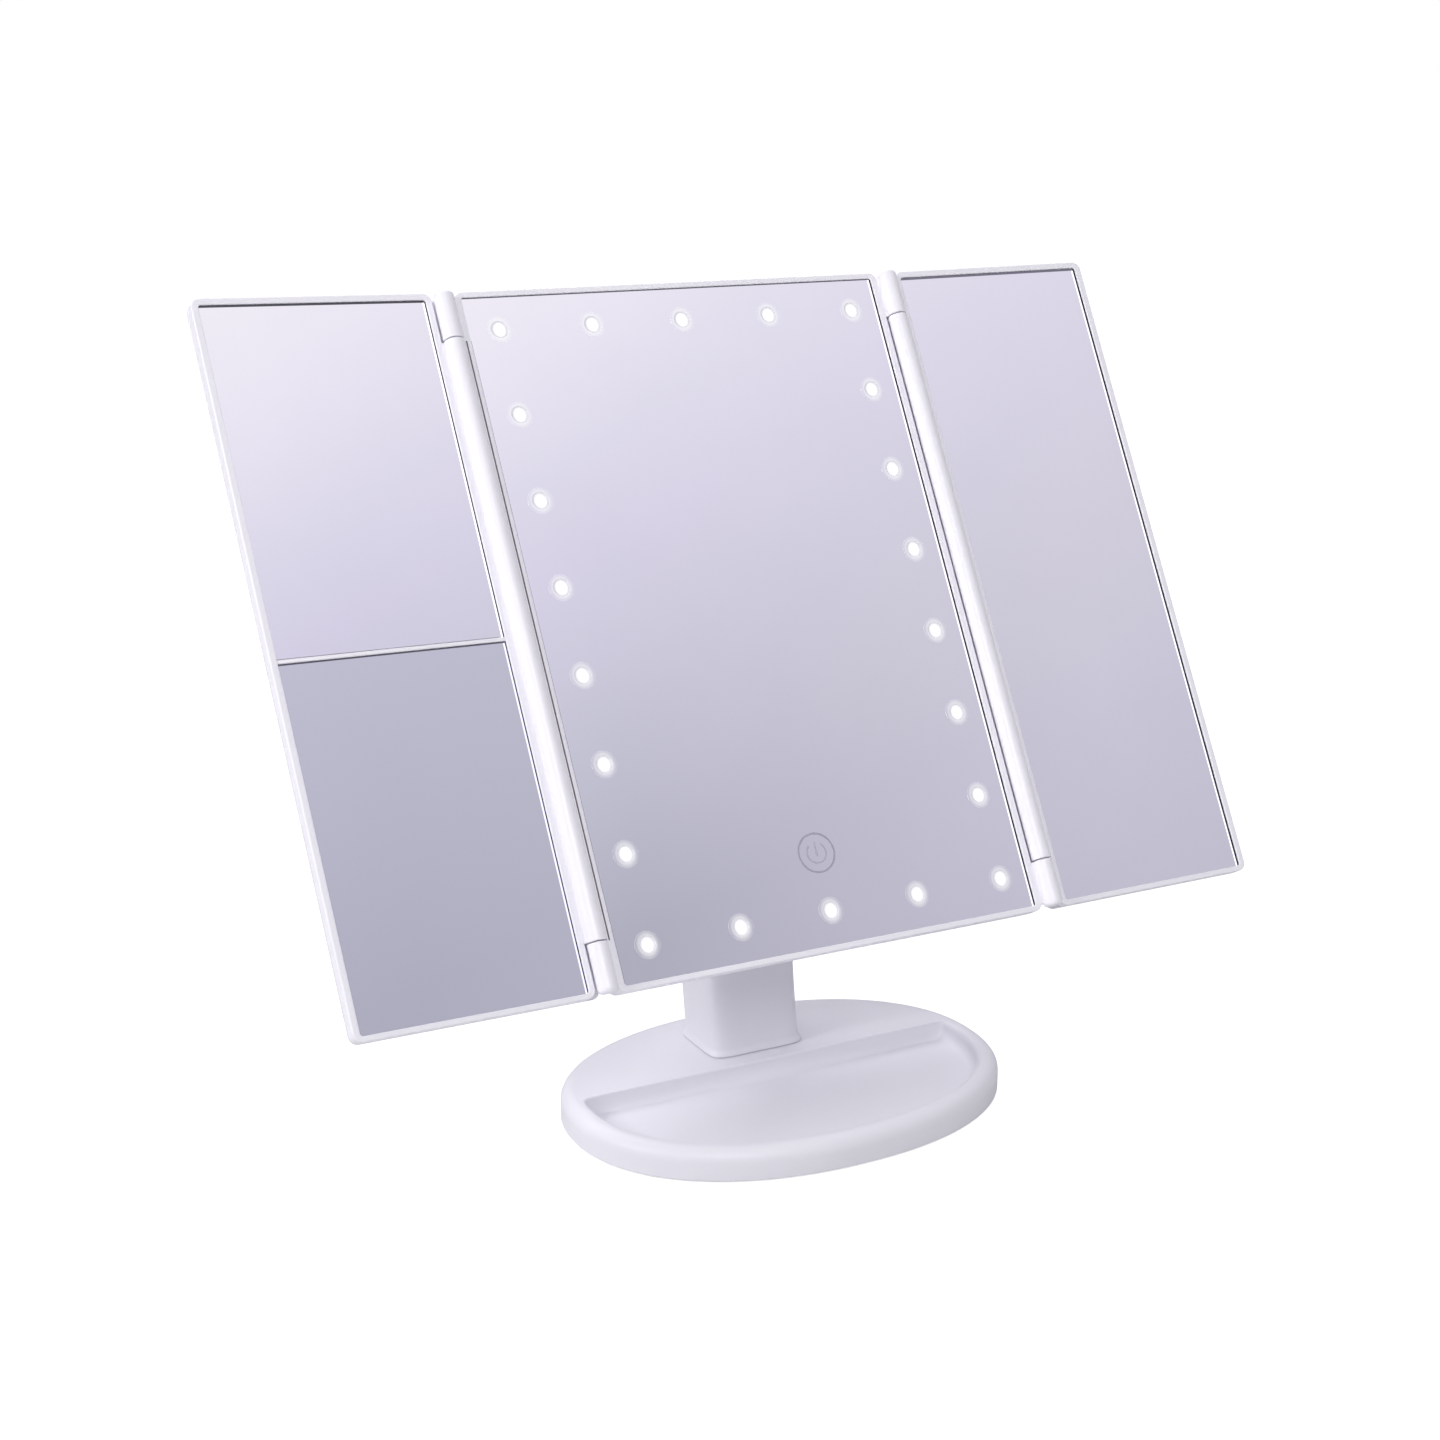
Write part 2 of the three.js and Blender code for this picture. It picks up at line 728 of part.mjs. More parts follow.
function centerMirror() {
  const outline = roundedShape(-mirrorHalfWidth, mirrorHalfWidth, mirrorBottom, mirrorTop, glassCorner);
  windowPlaces().forEach(([x, y]) => {
    outline.holes.push(new THREE.Path().absarc(x, y, windowRadius, 0, 2 * Math.PI, true));
  });
  return slab(outline, glassBack, 0, windowSteps / 2);
}

function windowDiffuser() {
  const x = mirrorHalfWidth - diffuserInset;
  const sheet = roundedPlate(-x, x, mirrorBottom + diffuserInset, mirrorTop - diffuserInset, glassCorner,
    diffuserBack, diffuserBack + diffuserThickness);
  const studs = windowPlaces().map(([sx, sy]) => {
    return rod('z', studRadius, diffuserBack + diffuserThickness / 2, -studRecess, sx, sy, windowSteps);
  });
  return joined(sheet, ...studs);
}

function ledBoard() {
  const back = boardFront - boardThickness;
  const outer = box(-boardHalfWidth, boardHalfWidth, windowBottom - boardBand, windowTop + boardBand,
    back, boardFront);
  const innerX = windowRight - boardBand;
  const opening = box(-innerX, innerX, windowBottom + boardBand, windowTop - boardBand, back - cutOver,
    boardFront + cutOver);
  const half = lightSize / 2;
  const lights = windowPlaces().map(([x, y]) => {
    return box(x - half, x + half, y - half, y + half, boardFront - boardThickness / 2, lightFront);
  });
  return joined(cutBy(outer, opening), ...lights);
}

function touchSensorBoard() {
  const y = mirrorBottom + touchAboveMirrorEdge;
  const back = shellFront + seatGap;
  return roundedPlate(-touchHalfSize, touchHalfSize, y - touchHalfSize, y + touchHalfSize, touchCorner,
    back, back + touchThickness);
}

// One hinge knuckle or barrel along Y, its two ends rounded by so much.
function hingeTube(from, to, x, lowRound, highRound) {
  const lowEnd = quarterRound(lowRound, 2).reverse();
  const highEnd = quarterRound(highRound, 2);
  const profile = [
    [0, from],
    ...lowEnd.map(({ inset, rise }) => [barrelRadius - inset, from + lowRound - rise]),
    ...highEnd.map(({ inset, rise }) => [barrelRadius - inset, to - highRound + rise]),
    [0, to],
  ];
  return solid(turned(profile).translate(x, 0, barrelLift));
}

function knuckles() {
  const low = { from: frameBottom + knuckleSetBack, to: frameBottom + knuckleLength };
  const high = { from: frameTop - knuckleLength, to: frameTop - knuckleSetBack };
  return [
    { ...low, lowRound: knuckleEndRound, highRound: bezelRound, boreFrom: low.to - hingePinDepth,
      boreTo: low.to + joinOver },
    { ...high, lowRound: bezelRound, highRound: knuckleEndRound, boreFrom: high.from - joinOver,
      boreTo: high.from + hingePinDepth },
  ];
}

// A ring of plastic with a broken front edge, a pocket for the glass and a ledge behind it.
function glassFrame(left, right, glassLeft, glassRight, glassLow, glassHigh, back, ledgeTop) {
  const ring = (grow, z) => roundedRing(left - grow, right + grow, frameBottom - grow, frameTop + grow,
    frameCorner + grow, z);
  const outer = loft([ring(0, back), ring(0, bezelLip - bezelRound), ring(-bezelRound, bezelLip)]);
  const pocket = roundedPlate(glassLeft - glassGap, glassRight + glassGap, glassLow - glassGap,
    glassHigh + glassGap, glassCorner, ledgeTop, bezelLip + cutOver);
  const opening = roundedPlate(glassLeft + ledgeWidth, glassRight - ledgeWidth, glassLow + ledgeWidth,
    glassHigh - ledgeWidth, glassCorner, back - cutOver, bezelLip + cutOver);
  return cutBy(outer, pocket, opening);
}

function shellScrewPlaces() {
  return [-shellScrewX, shellScrewX].flatMap((x) => shellScrewHeights.map((y) => [x, y]));
}

const framePostBack = frameBack - shellPostLength;

function centerFrontFrame() {
  const ring = glassFrame(-frameHalfWidth, frameHalfWidth, -mirrorHalfWidth, mirrorHalfWidth,
    mirrorBottom, mirrorTop, frameBack, ledgeFront);
  const additions = [];
  const bores = [];
  [-1, 1].forEach((side) => {
    const x = side * hingeX;
    const [webFrom, webTo] = between(side * (frameHalfWidth - joinOver), x);
    const [lipFrom, lipTo] = between(side * (frameHalfWidth - joinOver), x - side * wingBackFromAxis);
    const lipFront = -hingeLipDepth;
    additions.push(box(lipFrom, lipTo, frameBottom + knuckleLength - joinOver,
      frameTop - knuckleLength + joinOver, lipFront - hingeLipThickness, lipFront));
    knuckles().forEach(({ from, to, lowRound, highRound, boreFrom, boreTo }) => {
      additions.push(hingeTube(from, to, x, lowRound, highRound));
      additions.push(box(webFrom, webTo, from + lowRound - bezelRound, to - highRound + bezelRound,
        -hingeWebDepth, hingeWebRise));
      bores.push(rod('y', hingePinRadius + boreGap, boreFrom, boreTo, x, barrelLift, screwSteps));
    });
  });
  shellScrewPlaces().forEach(([x, y]) => {
    additions.push(rod('z', shellScrewPost, framePostBack, ledgeFront, x, y, screwSteps));
    bores.push(screwHole(x, y, framePostBack - cutOver, ledgeFront - joinOver));
  });
  return cutBy(joined(ring, ...additions), ...bores);
}

// The shell's body with a quarter-round back edge; with a wall it gives the space inside.
function panelBody(wall, front) {
  const radius = shellEdgeRadius - wall;
  const ring = (inset, z) => roundedRing(-shellHalfWidth + inset, shellHalfWidth - inset, shellBottom + inset,
    shellTop - inset, Math.max(frameCorner - inset, shellInnerCorner), z);
  const edge = quarterRound(radius, 4).map(({ inset, rise }) => {
    return ring(wall + inset, -shellBack + wall + radius - rise);
  });
  return loft([...edge.reverse(), ring(wall, front)]);
}

function housingRing(inset, z) {
  return roundedRing(-housingHalfWidth + inset, housingHalfWidth - inset, -housingBelowAxis + inset,
    housingAboveAxis - inset, housingCorner - inset, z);
}

// The raised housing: a soft plateau that flares into the back of the shell.
function housingBody() {
  const edgeTop = housingBack + housingEdgeRadius;
  const flareFoot = -shellBack - housingFlare;
  const edge = quarterRound(housingEdgeRadius, 4).map(({ inset, rise }) => {
    return housingRing(inset, edgeTop - rise);
  });
  const flare = quarterRound(housingFlare, 3).map(({ inset, rise }) => housingRing(-inset, flareFoot + rise));
  return loft([...edge.reverse(), ...flare, housingRing(-housingFlare, shellFront - joinOver)]);
}

function housingSpace() {
  const innerEdge = housingEdgeRadius - shellWall;
  return loft([housingRing(shellWall + innerEdge, housingBack + shellWall),
    housingRing(shellWall, housingBack + housingEdgeRadius), housingRing(shellWall, shellFront + cutOver)]);
}

function neckSlot(grow) {
  const bossFoot = -housingBelowAxis + bossSetBack;
  const wide = box(-slotHalfWidth - grow, slotHalfWidth + grow, shellBottom - cutOver, bossFoot,
    housingBack - cutOver, -slotFloorDepth + grow);
  const narrow = box(-bossInner - grow, bossInner + grow, bossFoot - joinOver, slotAboveAxis + grow,
    housingBack - cutOver, -slotFloorDepth + grow);
  return joined(wide, narrow);
}

function batteryWell(grow) {
  return box(-wellHalfLength - grow, wellHalfLength + grow, wellAboveAxis - grow, wellTop + grow,
    housingBack - cutOver, -wellFloorDepth + grow);
}

function hingeBlock() {
  return box(-bossOuter, bossOuter, -housingBelowAxis, wellAboveAxis, housingBack - cutOver, shellFront);
}

const inletZ = -shellBack - housingFlare - inletHeight / 2 - inletBehindFlare;
const controlWidth = housingHalfWidth - shellWall - wellHalfLength - wellWall - 2 * controlSideGap;
const controlX = housingHalfWidth - shellWall - controlSideGap - controlWidth / 2;
const controlBack = inletZ + inletHeight / 2 + seatGap;

function controlPosts() {
  return controlPostShares.map((share) => {
    const y = inletAboveAxis - inletWidth / 2 + controlLength * share;
    return rod('z', controlPost, housingBack, controlBack - seatGap, controlX, y, screwSteps);
  });
}

const tongueFront = doorSeat + tongueThickness + seatGap;

function doorSpaces() {
  const half = doorHalfWidth + seatGap;
  const recess = box(-half, half, doorAboveAxis - seatGap, housingAboveAxis + cutOver, housingBack - cutOver,
    doorSeat);
  const slots = [-1, 1].map((side) => {
    const [from, to] = between(side * (tongueInner - seatGap), side * (tongueOuter + seatGap));
    return box(from, to, doorAboveAxis - tongueLength - seatGap, doorAboveAxis + tongueLength + doorTravel,
      doorFront, tongueFront + seatGap);
  });
  return [recess, ...slots];
}

function centerBackShell() {
  const outer = joined(panelBody(0, shellFront), housingBody());
  const tubes = shellScrewPlaces().map(([x, y]) => {
    return rod('z', shellScrewPost + boreGap, -shellBack, framePostBack - seatGap, x, y, screwSteps);
  });
  const kept = joined(neckSlot(slotWall), batteryWell(wellWall), hingeBlock(), ...tubes, ...controlPosts());
  const hollow = cutBy(joined(panelBody(shellWall, shellFront + cutOver), housingSpace()), kept);
  const boreEnd = bossOuter + cutOver;
  const axleBore = rod('x', axleRadius + boreGap, -boreEnd, boreEnd, 0, -axisBehindGlass);
  const inlet = box(housingHalfWidth - shellWall - joinOver, housingHalfWidth + cutOver,
    inletAboveAxis - inletWidth / 2 - seatGap, inletAboveAxis + inletWidth / 2 + seatGap,
    inletZ - inletHeight / 2 - seatGap, inletZ + inletHeight / 2 + seatGap);
  const sinkFront = -shellBack + shellScrewSink + screwHeadHeight + seatGap;
  const screwCuts = shellScrewPlaces().flatMap(([x, y]) => [
    rod('z', screwHeadRadius + boreGap, -shellBack - cutOver, sinkFront, x, y, smallSteps),
    screwHole(x, y, -shellBack - cutOver, shellFront + cutOver),
  ]);
  return cutBy(outer, hollow, neckSlot(0), batteryWell(0), axleBore, inlet, ...doorSpaces(), ...screwCuts);
}

function batteryDoor() {
  const plate = housingBody().intersect(box(-doorHalfWidth, doorHalfWidth, doorAboveAxis,
    housingAboveAxis + cutOver, housingBack - cutOver, doorFront));
  const tongues = [-1, 1].flatMap((side) => {
    const [from, to] = between(side * tongueInner, side * tongueOuter);
    const root = doorAboveAxis + tongueRoot;
    return [
      box(from, to, doorAboveAxis, root, doorFront - tongueSink, tongueFront),
      box(from, to, doorAboveAxis - tongueLength, root, tongueFront - tongueThickness, tongueFront),
    ];
  });
  const grooves = [];
  const gripTop = housingAboveAxis - 2 * housingEdgeRadius;
  for (let i = 0; i < gripGrooves; i += 1) {
    const y = gripTop - i * gripPitch;
    grooves.push(box(-gripHalfWidth, gripHalfWidth, y - gripPitch / 4, y + gripPitch / 4,
      housingBack - cutOver, housingBack + gripDepth));
  }
  return cutBy(joined(plate, ...tongues), ...grooves);
}

function cellHeight(index) {
  return wellAboveAxis + cellPitch * (index + 0.5);
}

function cellGeometry() {
  const half = cellLength / 2;
  const profile = [
    [0, -half],
    [cellRadius - edgeBreak, -half],
    [cellRadius, -half + edgeBreak],
    [cellRadius, half - edgeBreak],
    [cellRadius - edgeBreak, half],
    [nubRadius, half],
    [nubRadius, half + nubLength],
    [0, half + nubLength],
  ];
  return turned(profile, smallSteps).rotateZ(-Math.PI / 2);
}

// A spring strip along the end wall, bowed out once in front of each cell that it serves.
function contactStrip(side, firstCell, lastCell) {
  const wallX = wellHalfLength - seatGap;
  const reach = wallX - contactThickness - (cellLength / 2 + nubLength) - seatGap;
  const low = cellHeight(firstCell) - contactSpan / 2;
  const high = cellHeight(lastCell) + contactSpan / 2;
  const steps = 8 * (lastCell - firstCell + 1);
  const bow = (y) => {
    const cell = THREE.MathUtils.clamp(Math.round((y - cellHeight(0)) / cellPitch), firstCell, lastCell);
    const offset = Math.min(Math.abs(y - cellHeight(cell)) / (contactSpan / 2), 1);
    return reach * Math.cos((Math.PI / 2) * offset) ** 2;
  };
  const shape = new THREE.Shape();
  for (let i = 0; i <= steps; i += 1) {
    const y = low + ((high - low) * i) / steps;
    const x = side * (wallX - bow(y));
    if (i === 0) shape.moveTo(x, y);
    else shape.lineTo(x, y);
  }
  for (let i = steps; i >= 0; i -= 1) {
    const y = low + ((high - low) * i) / steps;
    shape.lineTo(side * (wallX - contactThickness - bow(y)), y);
  }
  return slab(shape, cellZ - contactWidth / 2, cellZ + contactWidth / 2);
}

function controlBoard() {
  const low = inletAboveAxis - inletWidth / 2;
  return box(controlX - controlWidth / 2, controlX + controlWidth / 2, low, low + controlLength,
    controlBack, controlBack + controlThickness);
}

function usbSocket() {
  const mouth = housingHalfWidth - inletSetBack;
  const floor = mouth - inletLength;
  const block = (from, to, halfWidth, halfHeight) => {
    return box(from, to, inletAboveAxis - halfWidth, inletAboveAxis + halfWidth, inletZ - halfHeight,
      inletZ + halfHeight);
  };
  const body = block(floor, mouth, inletWidth / 2, inletHeight / 2);
  const opening = block(floor + inletFloor, mouth + cutOver, inletWidth / 2 - inletWall,
    inletHeight / 2 - inletWall);
  const tongue = block(floor, mouth - inletTongueSetBack, inletTongueWidth / 2, inletWall);
  return joined(cutBy(body, opening), tongue);
}

function tiltAxle() {
  const headFrom = -bossOuter - seatGap - axleHeadThickness;
  const tip = bossOuter + nutThickness + axleBeyondNut;
  const profile = [
    [0, headFrom],
    [axleHeadRadius - edgeBreak, headFrom],
    [axleHeadRadius, headFrom + edgeBreak],
    [axleHeadRadius, headFrom + axleHeadThickness],
    [axleRadius, headFrom + axleHeadThickness],
    [axleRadius, tip - edgeBreak],
    [axleRadius - edgeBreak, tip],
    [0, tip],
  ];
  return turned(profile).rotateZ(-Math.PI / 2).translate(0, 0, -axisBehindGlass);
}

function hingeWasher(side) {
  const [from, to] = between(side * (neckHeadHalfWidth + seatGap), side * (bossInner - seatGap));
  const disc = rod('x', washerRadius, from, to, 0, -axisBehindGlass, windowSteps);
  const hole = rod('x', axleRadius + boreGap, from - cutOver, to + cutOver, 0, -axisBehindGlass);
  return cutBy(disc, hole);
}

function axleNut() {
  const from = bossOuter + seatGap;
  const to = from + nutThickness;
  const body = rod('x', nutRadius, from, to, 0, -axisBehindGlass, nutSides);
  const hole = rod('x', axleRadius + boreGap, from - cutOver, to + cutOver, 0, -axisBehindGlass);
  return cutBy(body, hole);
}

function buildPanelCore() {
  const group = new THREE.Group();
  group.add(part('center_front_frame', centerFrontFrame(), whitePlastic));
  group.add(part('center_mirror', centerMirror(), mirrorGlass));
  group.add(part('window_diffuser', windowDiffuser(), lightPlastic));
  group.add(part('led_board', ledBoard(), circuitBoard));
  group.add(part('touch_sensor_board', touchSensorBoard(), circuitBoard));
  group.add(part('center_back_shell', centerBackShell(), whitePlastic));
  group.add(part('control_board', controlBoard(), circuitBoard));
  group.add(part('usb_socket', usbSocket(), nickel));
  group.add(part('tilt_axle', tiltAxle(), steel));
  group.add(part('friction_washer_left', hingeWasher(-1), washerPlastic));
  group.add(part('friction_washer_right', hingeWasher(1), washerPlastic));
  group.add(part('axle_nut', axleNut(), steel));
  shellScrewPlaces().forEach(([x, y], i) => {
    const shank = shellBack - shellScrewSink - screwHeadHeight - frameDepth;
    const piece = part(`back_shell_screw_${i + 1}`, screwGeometry(shank), steel);
    piece.position.set(x, y, -shellBack + shellScrewSink);
    group.add(piece);
  });
  return group;
}

function buildBatteries() {
  const group = new THREE.Group();
  for (let i = 0; i < cellCount; i += 1) {
    const piece = part(`battery_${i + 1}`, cellGeometry(), cellJacket);
    piece.position.set(0, cellHeight(i), cellZ);
    if (i % 2 === 1) piece.rotation.y = Math.PI;
    group.add(piece);
  }
  const strips = [[-1, 0, 1], [-1, 2, 3], [1, 0, 0], [1, 1, 2], [1, 3, 3]];
  strips.forEach(([side, first, last], i) => {
    group.add(part(`battery_contact_${i + 1}`, contactStrip(side, first, last), nickel));
  });
  group.add(part('battery_door', batteryDoor(), whitePlastic));
  return group;
}

function buildHingePins() {
  const group = new THREE.Group();
  const ends = [['bottom', frameBottom + knuckleLength], ['top', frameTop - knuckleLength - knuckleGap]];
  [['left', -1], ['right', 1]].forEach(([name, side]) => {
    ends.forEach(([end, joint]) => {
      const from = joint - hingePinDepth + seatGap;
      const to = joint + knuckleGap + hingePinDepth - seatGap;
      const pin = rod('y', hingePinRadius, from, to, side * hingeX, barrelLift, screwSteps);
      group.add(part(`${name}_hinge_pin_${end}`, pin, steel));
    });
  });
  return group;
}

// Wing pieces are drawn for the right wing: x outwards from the hinge axis, y and z as above.

function wingFrame(withDivider) {
  const ring = glassFrame(wingInner, wingOuter, wingGlassInner, wingGlassOuter, wingGlassBottom, wingGlassTop,
    -wingFrameDepth, wingLedgeFront);
  const low = frameBottom + knuckleLength + knuckleGap;
  const high = frameTop - knuckleLength - knuckleGap;
  const additions = [
    hingeTube(low, high, 0, bezelRound, bezelRound),
    box(0, wingInner + joinOver, low, high, -hingeWebDepth, hingeWebRise),
  ];
  if (withDivider) {
    additions.push(box(wingGlassInner - joinOver, wingGlassOuter + joinOver, dividerY - dividerWidth / 2,
      dividerY + dividerWidth / 2, -wingFrameDepth, dividerLip));
  }
  const boreEnds = [[low - cutOver, low + hingePinDepth], [high - hingePinDepth, high + cutOver]];
  const bores = boreEnds.map(([from, to]) => {
    return rod('y', hingePinRadius + boreGap, from, to, 0, barrelLift, screwSteps);
  });
  return cutBy(joined(ring, ...additions), ...bores);
}

function wingBack(withDivider) {
  const front = -wingFrameDepth - seatGap;
  const back = front - wingBackThickness;
  const ring = (inset, z) => roundedRing(wingBackFromAxis + inset, wingOuter - inset, frameBottom + inset,
    frameTop - inset, frameCorner - inset, z);
  const cover = loft([ring(wingBackEdge, back), ring(0, back + wingBackEdge), ring(0, front)]);
  const inset = ledgeWidth + seatGap;
  const pad = roundedPlate(wingGlassInner + inset, wingGlassOuter - inset, wingGlassBottom + inset,
    wingGlassTop - inset, glassCorner, back + wingBackEdge, wingLedgeFront);
  if (!withDivider) return joined(cover, pad);
  const groove = box(wingInner, wingOuter, dividerY - dividerWidth / 2 - seatGap,
    dividerY + dividerWidth / 2 + seatGap, front, dividerLip);
  return cutBy(joined(cover, pad), groove);
}

function wingMirror(low, high) {
  return roundedPlate(wingGlassInner, wingGlassOuter, low, high, glassCorner, glassBack, 0);
}

function wingGroup(side, fold, pieces) {
  const hinge = new THREE.Group();
  hinge.position.set(side * hingeX, 0, barrelLift);
  hinge.rotation.y = -side * THREE.MathUtils.degToRad(fold);
  const drawn = new THREE.Group();
  drawn.position.z = -barrelLift;
  pieces.forEach((piece) => drawn.add(piece));
  hinge.add(drawn);
  return hinge;
}

function buildLeftWing() {
  const edge = dividerWidth / 2 + glassGap;
  return wingGroup(-1, leftWingFold, [
    part('left_wing_frame', mirroredX(wingFrame(true)), whitePlastic),
    part('left_wing_back', mirroredX(wingBack(true)), whitePlastic),
    part('left_lower_mirror', mirroredX(wingMirror(wingGlassBottom, dividerY - edge)), mirrorGlass),
    part('left_upper_mirror', mirroredX(wingMirror(dividerY + edge, wingGlassTop)), mirrorGlass),
  ]);
}

function buildRightWing() {
  return wingGroup(1, rightWingFold, [
    part('right_wing_frame', wingFrame(false), whitePlastic),
    part('right_wing_back', wingBack(false), whitePlastic),
    part('right_mirror', wingMirror(wingGlassBottom, wingGlassTop), mirrorGlass),
  ]);
}

function buildPanel() {
  const drawn = new THREE.Group();
  drawn.position.z = axisBehindGlass;
  drawn.add(buildPanelCore(), buildBatteries(), buildHingePins(), buildLeftWing(), buildRightWing());
  const tilting = new THREE.Group();
  tilting.position.set(0, axisY, axisHeight);
  tilting.rotation.x = THREE.MathUtils.degToRad(90 - panelTilt);
  tilting.add(drawn);
  return tilting;
}

const makeupMirror = new THREE.Group();
makeupMirror.add(buildBase(), buildPanel());

export default makeupMirror;
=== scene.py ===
import json
import math

import bmesh
import bpy
import numpy as np
from mathutils import Matrix


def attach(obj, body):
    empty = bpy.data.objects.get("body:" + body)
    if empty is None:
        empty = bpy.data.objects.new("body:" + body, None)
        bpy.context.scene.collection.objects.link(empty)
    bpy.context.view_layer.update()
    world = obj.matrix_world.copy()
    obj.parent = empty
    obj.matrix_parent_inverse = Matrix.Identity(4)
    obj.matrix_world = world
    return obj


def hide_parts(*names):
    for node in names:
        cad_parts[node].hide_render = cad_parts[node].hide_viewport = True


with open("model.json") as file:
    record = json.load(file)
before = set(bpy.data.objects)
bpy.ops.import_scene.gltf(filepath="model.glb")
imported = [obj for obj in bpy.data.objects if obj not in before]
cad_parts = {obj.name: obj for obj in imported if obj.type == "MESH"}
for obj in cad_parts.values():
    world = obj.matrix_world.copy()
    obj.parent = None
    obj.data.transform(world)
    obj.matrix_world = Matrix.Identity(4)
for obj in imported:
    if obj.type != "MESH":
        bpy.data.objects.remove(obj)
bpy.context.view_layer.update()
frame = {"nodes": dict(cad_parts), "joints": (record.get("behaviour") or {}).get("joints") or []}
mm = 0.001
joints = {joint["name"]: joint for joint in frame["joints"]}
print("frame loaded:", len(frame["nodes"]), "CAD nodes")

camera = {
    "lens": 55.6,  # focal length in mm on a 36 mm sensor
    "place": (-0.34856, -0.62534, 0.3428),
    "right": (0.888, -0.4597, 0),
    "up": (0.1613, 0.3116, 0.9365),
    "back": (-0.4305, -0.8317, 0.3509),
    "rise": 0.1256,  # upward shift that the photograph's framing needs
}


def placed(name, data):
    thing = bpy.data.objects.new(name, data)
    bpy.context.collection.objects.link(thing)
    return thing


def makeCamera(spec):
    data = bpy.data.cameras.new("photoCamera")
    data.lens = spec["lens"]
    data.sensor_width = 36
    data.shift_y = spec["rise"]
    data.clip_start = 0.01
    data.clip_end = 50
    seen = placed("photoCamera", data)
    turn = Matrix((spec["right"], spec["up"], spec["back"])).transposed()
    seen.matrix_world = Matrix.Translation(spec["place"]) @ turn.to_4x4()
    bpy.context.scene.camera = seen


makeCamera(camera)
print("camera placed")


class Paint:
    # Shader steps for a material or a world; most add a node and give back the socket with its result
    def __init__(self, owner):
        owner.use_nodes = True
        self.tree = owner.node_tree

    def feed(self, socket, value):
        # Another step's socket is linked; a number, a tone or a point is set
        if isinstance(value, bpy.types.NodeSocket):
            self.tree.links.new(value, socket)
        else:
            socket.default_value = (*value, 1) if socket.type == "RGBA" else value

    def add(self, kind, inputs=(), **options):
        node = self.tree.nodes.new("ShaderNode" + kind)
        for name, value in options.items():
            setattr(node, name, value)
        for key, value in dict(inputs).items():
            self.feed(node.inputs[key], value)
        return node

    def surface(self, inputs):
        for name, value in inputs.items():
            self.feed(self.tree.nodes["Principled BSDF"].inputs[name], value)

    def place(self):
        return self.add("TexCoord").outputs["Object"]

    def math(self, operation, *values):
        return self.add("Math", enumerate(values), operation=operation).outputs[0]

    def times(self, first, second):
        return self.math("MULTIPLY", first, second)

    def noise(self, scale, detail, roughness):
        inputs = {"Vector": self.place(), "Scale": scale, "Detail": detail, "Roughness": roughness}
        return self.add("TexNoise", inputs).outputs["Fac"]

    def spread(self, value, before, after=(0, 1), smooth=False):
        # before = (from, to) in the incoming value, after = what those two become
        names = ("Value", "From Min", "From Max", "To Min", "To Max")
        kind = "SMOOTHSTEP" if smooth else "LINEAR"
        inputs = zip(names, (value, *before, *after))
        return self.add("MapRange", inputs, interpolation_type=kind).outputs["Result"]

    def blend(self, share, first, second, kind="RGBA"):
        return self.add("Mix", {"Factor": share, "A": first, "B": second}, data_type=kind).outputs["Result"]

    def ramp(self, value, stops):
        ramp = self.add("ValToRGB", {"Fac": value})
        elements = ramp.color_ramp.elements
        for element, (place, tone) in zip(elements, (stops[0], stops[-1])):
            element.position, element.color = place, (*tone, 1)
        for place, tone in stops[1:-1]:
            elements.new(place).color = (*tone, 1)
        return ramp.outputs["Color"]

    def bump(self, height, strength, distance):
        inputs = {"Height": height, "Strength": strength, "Distance": distance}
        return self.add("Bump", inputs).outputs["Normal"]

    def along(self, origin, direction):
        # Millimetres from a point along a direction: (place - origin) . direction
        offset = self.add("VectorMath", {0: self.place(), 1: np.array(origin) * mm}, operation="SUBTRACT")
        inputs = {0: offset.outputs[0], 1: np.array(direction) / mm}
        return self.add("VectorMath", inputs, operation="DOT_PRODUCT").outputs["Value"]


materials = {}


def newPaint(name):
    materials[name] = bpy.data.materials.new(name)
    return Paint(materials[name])


def scaled(tone, share):
    return tuple(share * part for part in tone)


def pick(spec, names):
    return [spec[name] for name in names.split()]


plasticTones = {  # pale tone, deep tone, roughness, grain, relief
    "basePlastic": ((0.830, 0.825, 0.880), (0.812, 0.808, 0.866), 0.40, 2600, 0.22),
    "neckPlastic": ((0.820, 0.812, 0.868), (0.802, 0.794, 0.852), 0.38, 2600, 0.20),
    "framePlastic": ((0.912, 0.902, 0.958), (0.900, 0.890, 0.948), 0.30, 3000, 0.15),
    "shellPlastic": ((0.830, 0.822, 0.875), (0.812, 0.804, 0.860), 0.40, 2400, 0.28),
    "boardGreen": ((0.04, 0.15, 0.07), (0.03, 0.11, 0.05), 0.45, 1500, 0.35),
    "footRubber": ((0.70, 0.70, 0.73), (0.62, 0.62, 0.66), 0.80, 1800, 0.6),
    "cellJacket": ((0.11, 0.13, 0.16), (0.08, 0.09, 0.12), 0.32, 900, 0.1),
    "washerGrey": ((0.28, 0.29, 0.31), (0.22, 0.23, 0.25), 0.55, 1600, 0.4),
}
metalTones = {  # pale tone, deep tone, roughness, grain
    "steelMetal": ((0.55, 0.56, 0.58), (0.44, 0.45, 0.47), 0.26, 1800),
    "nickelMetal": ((0.66, 0.64, 0.60), (0.56, 0.54, 0.50), 0.22, 2200),
}
middling = (0.3, 0.7)  # the part of a noise's values that counts


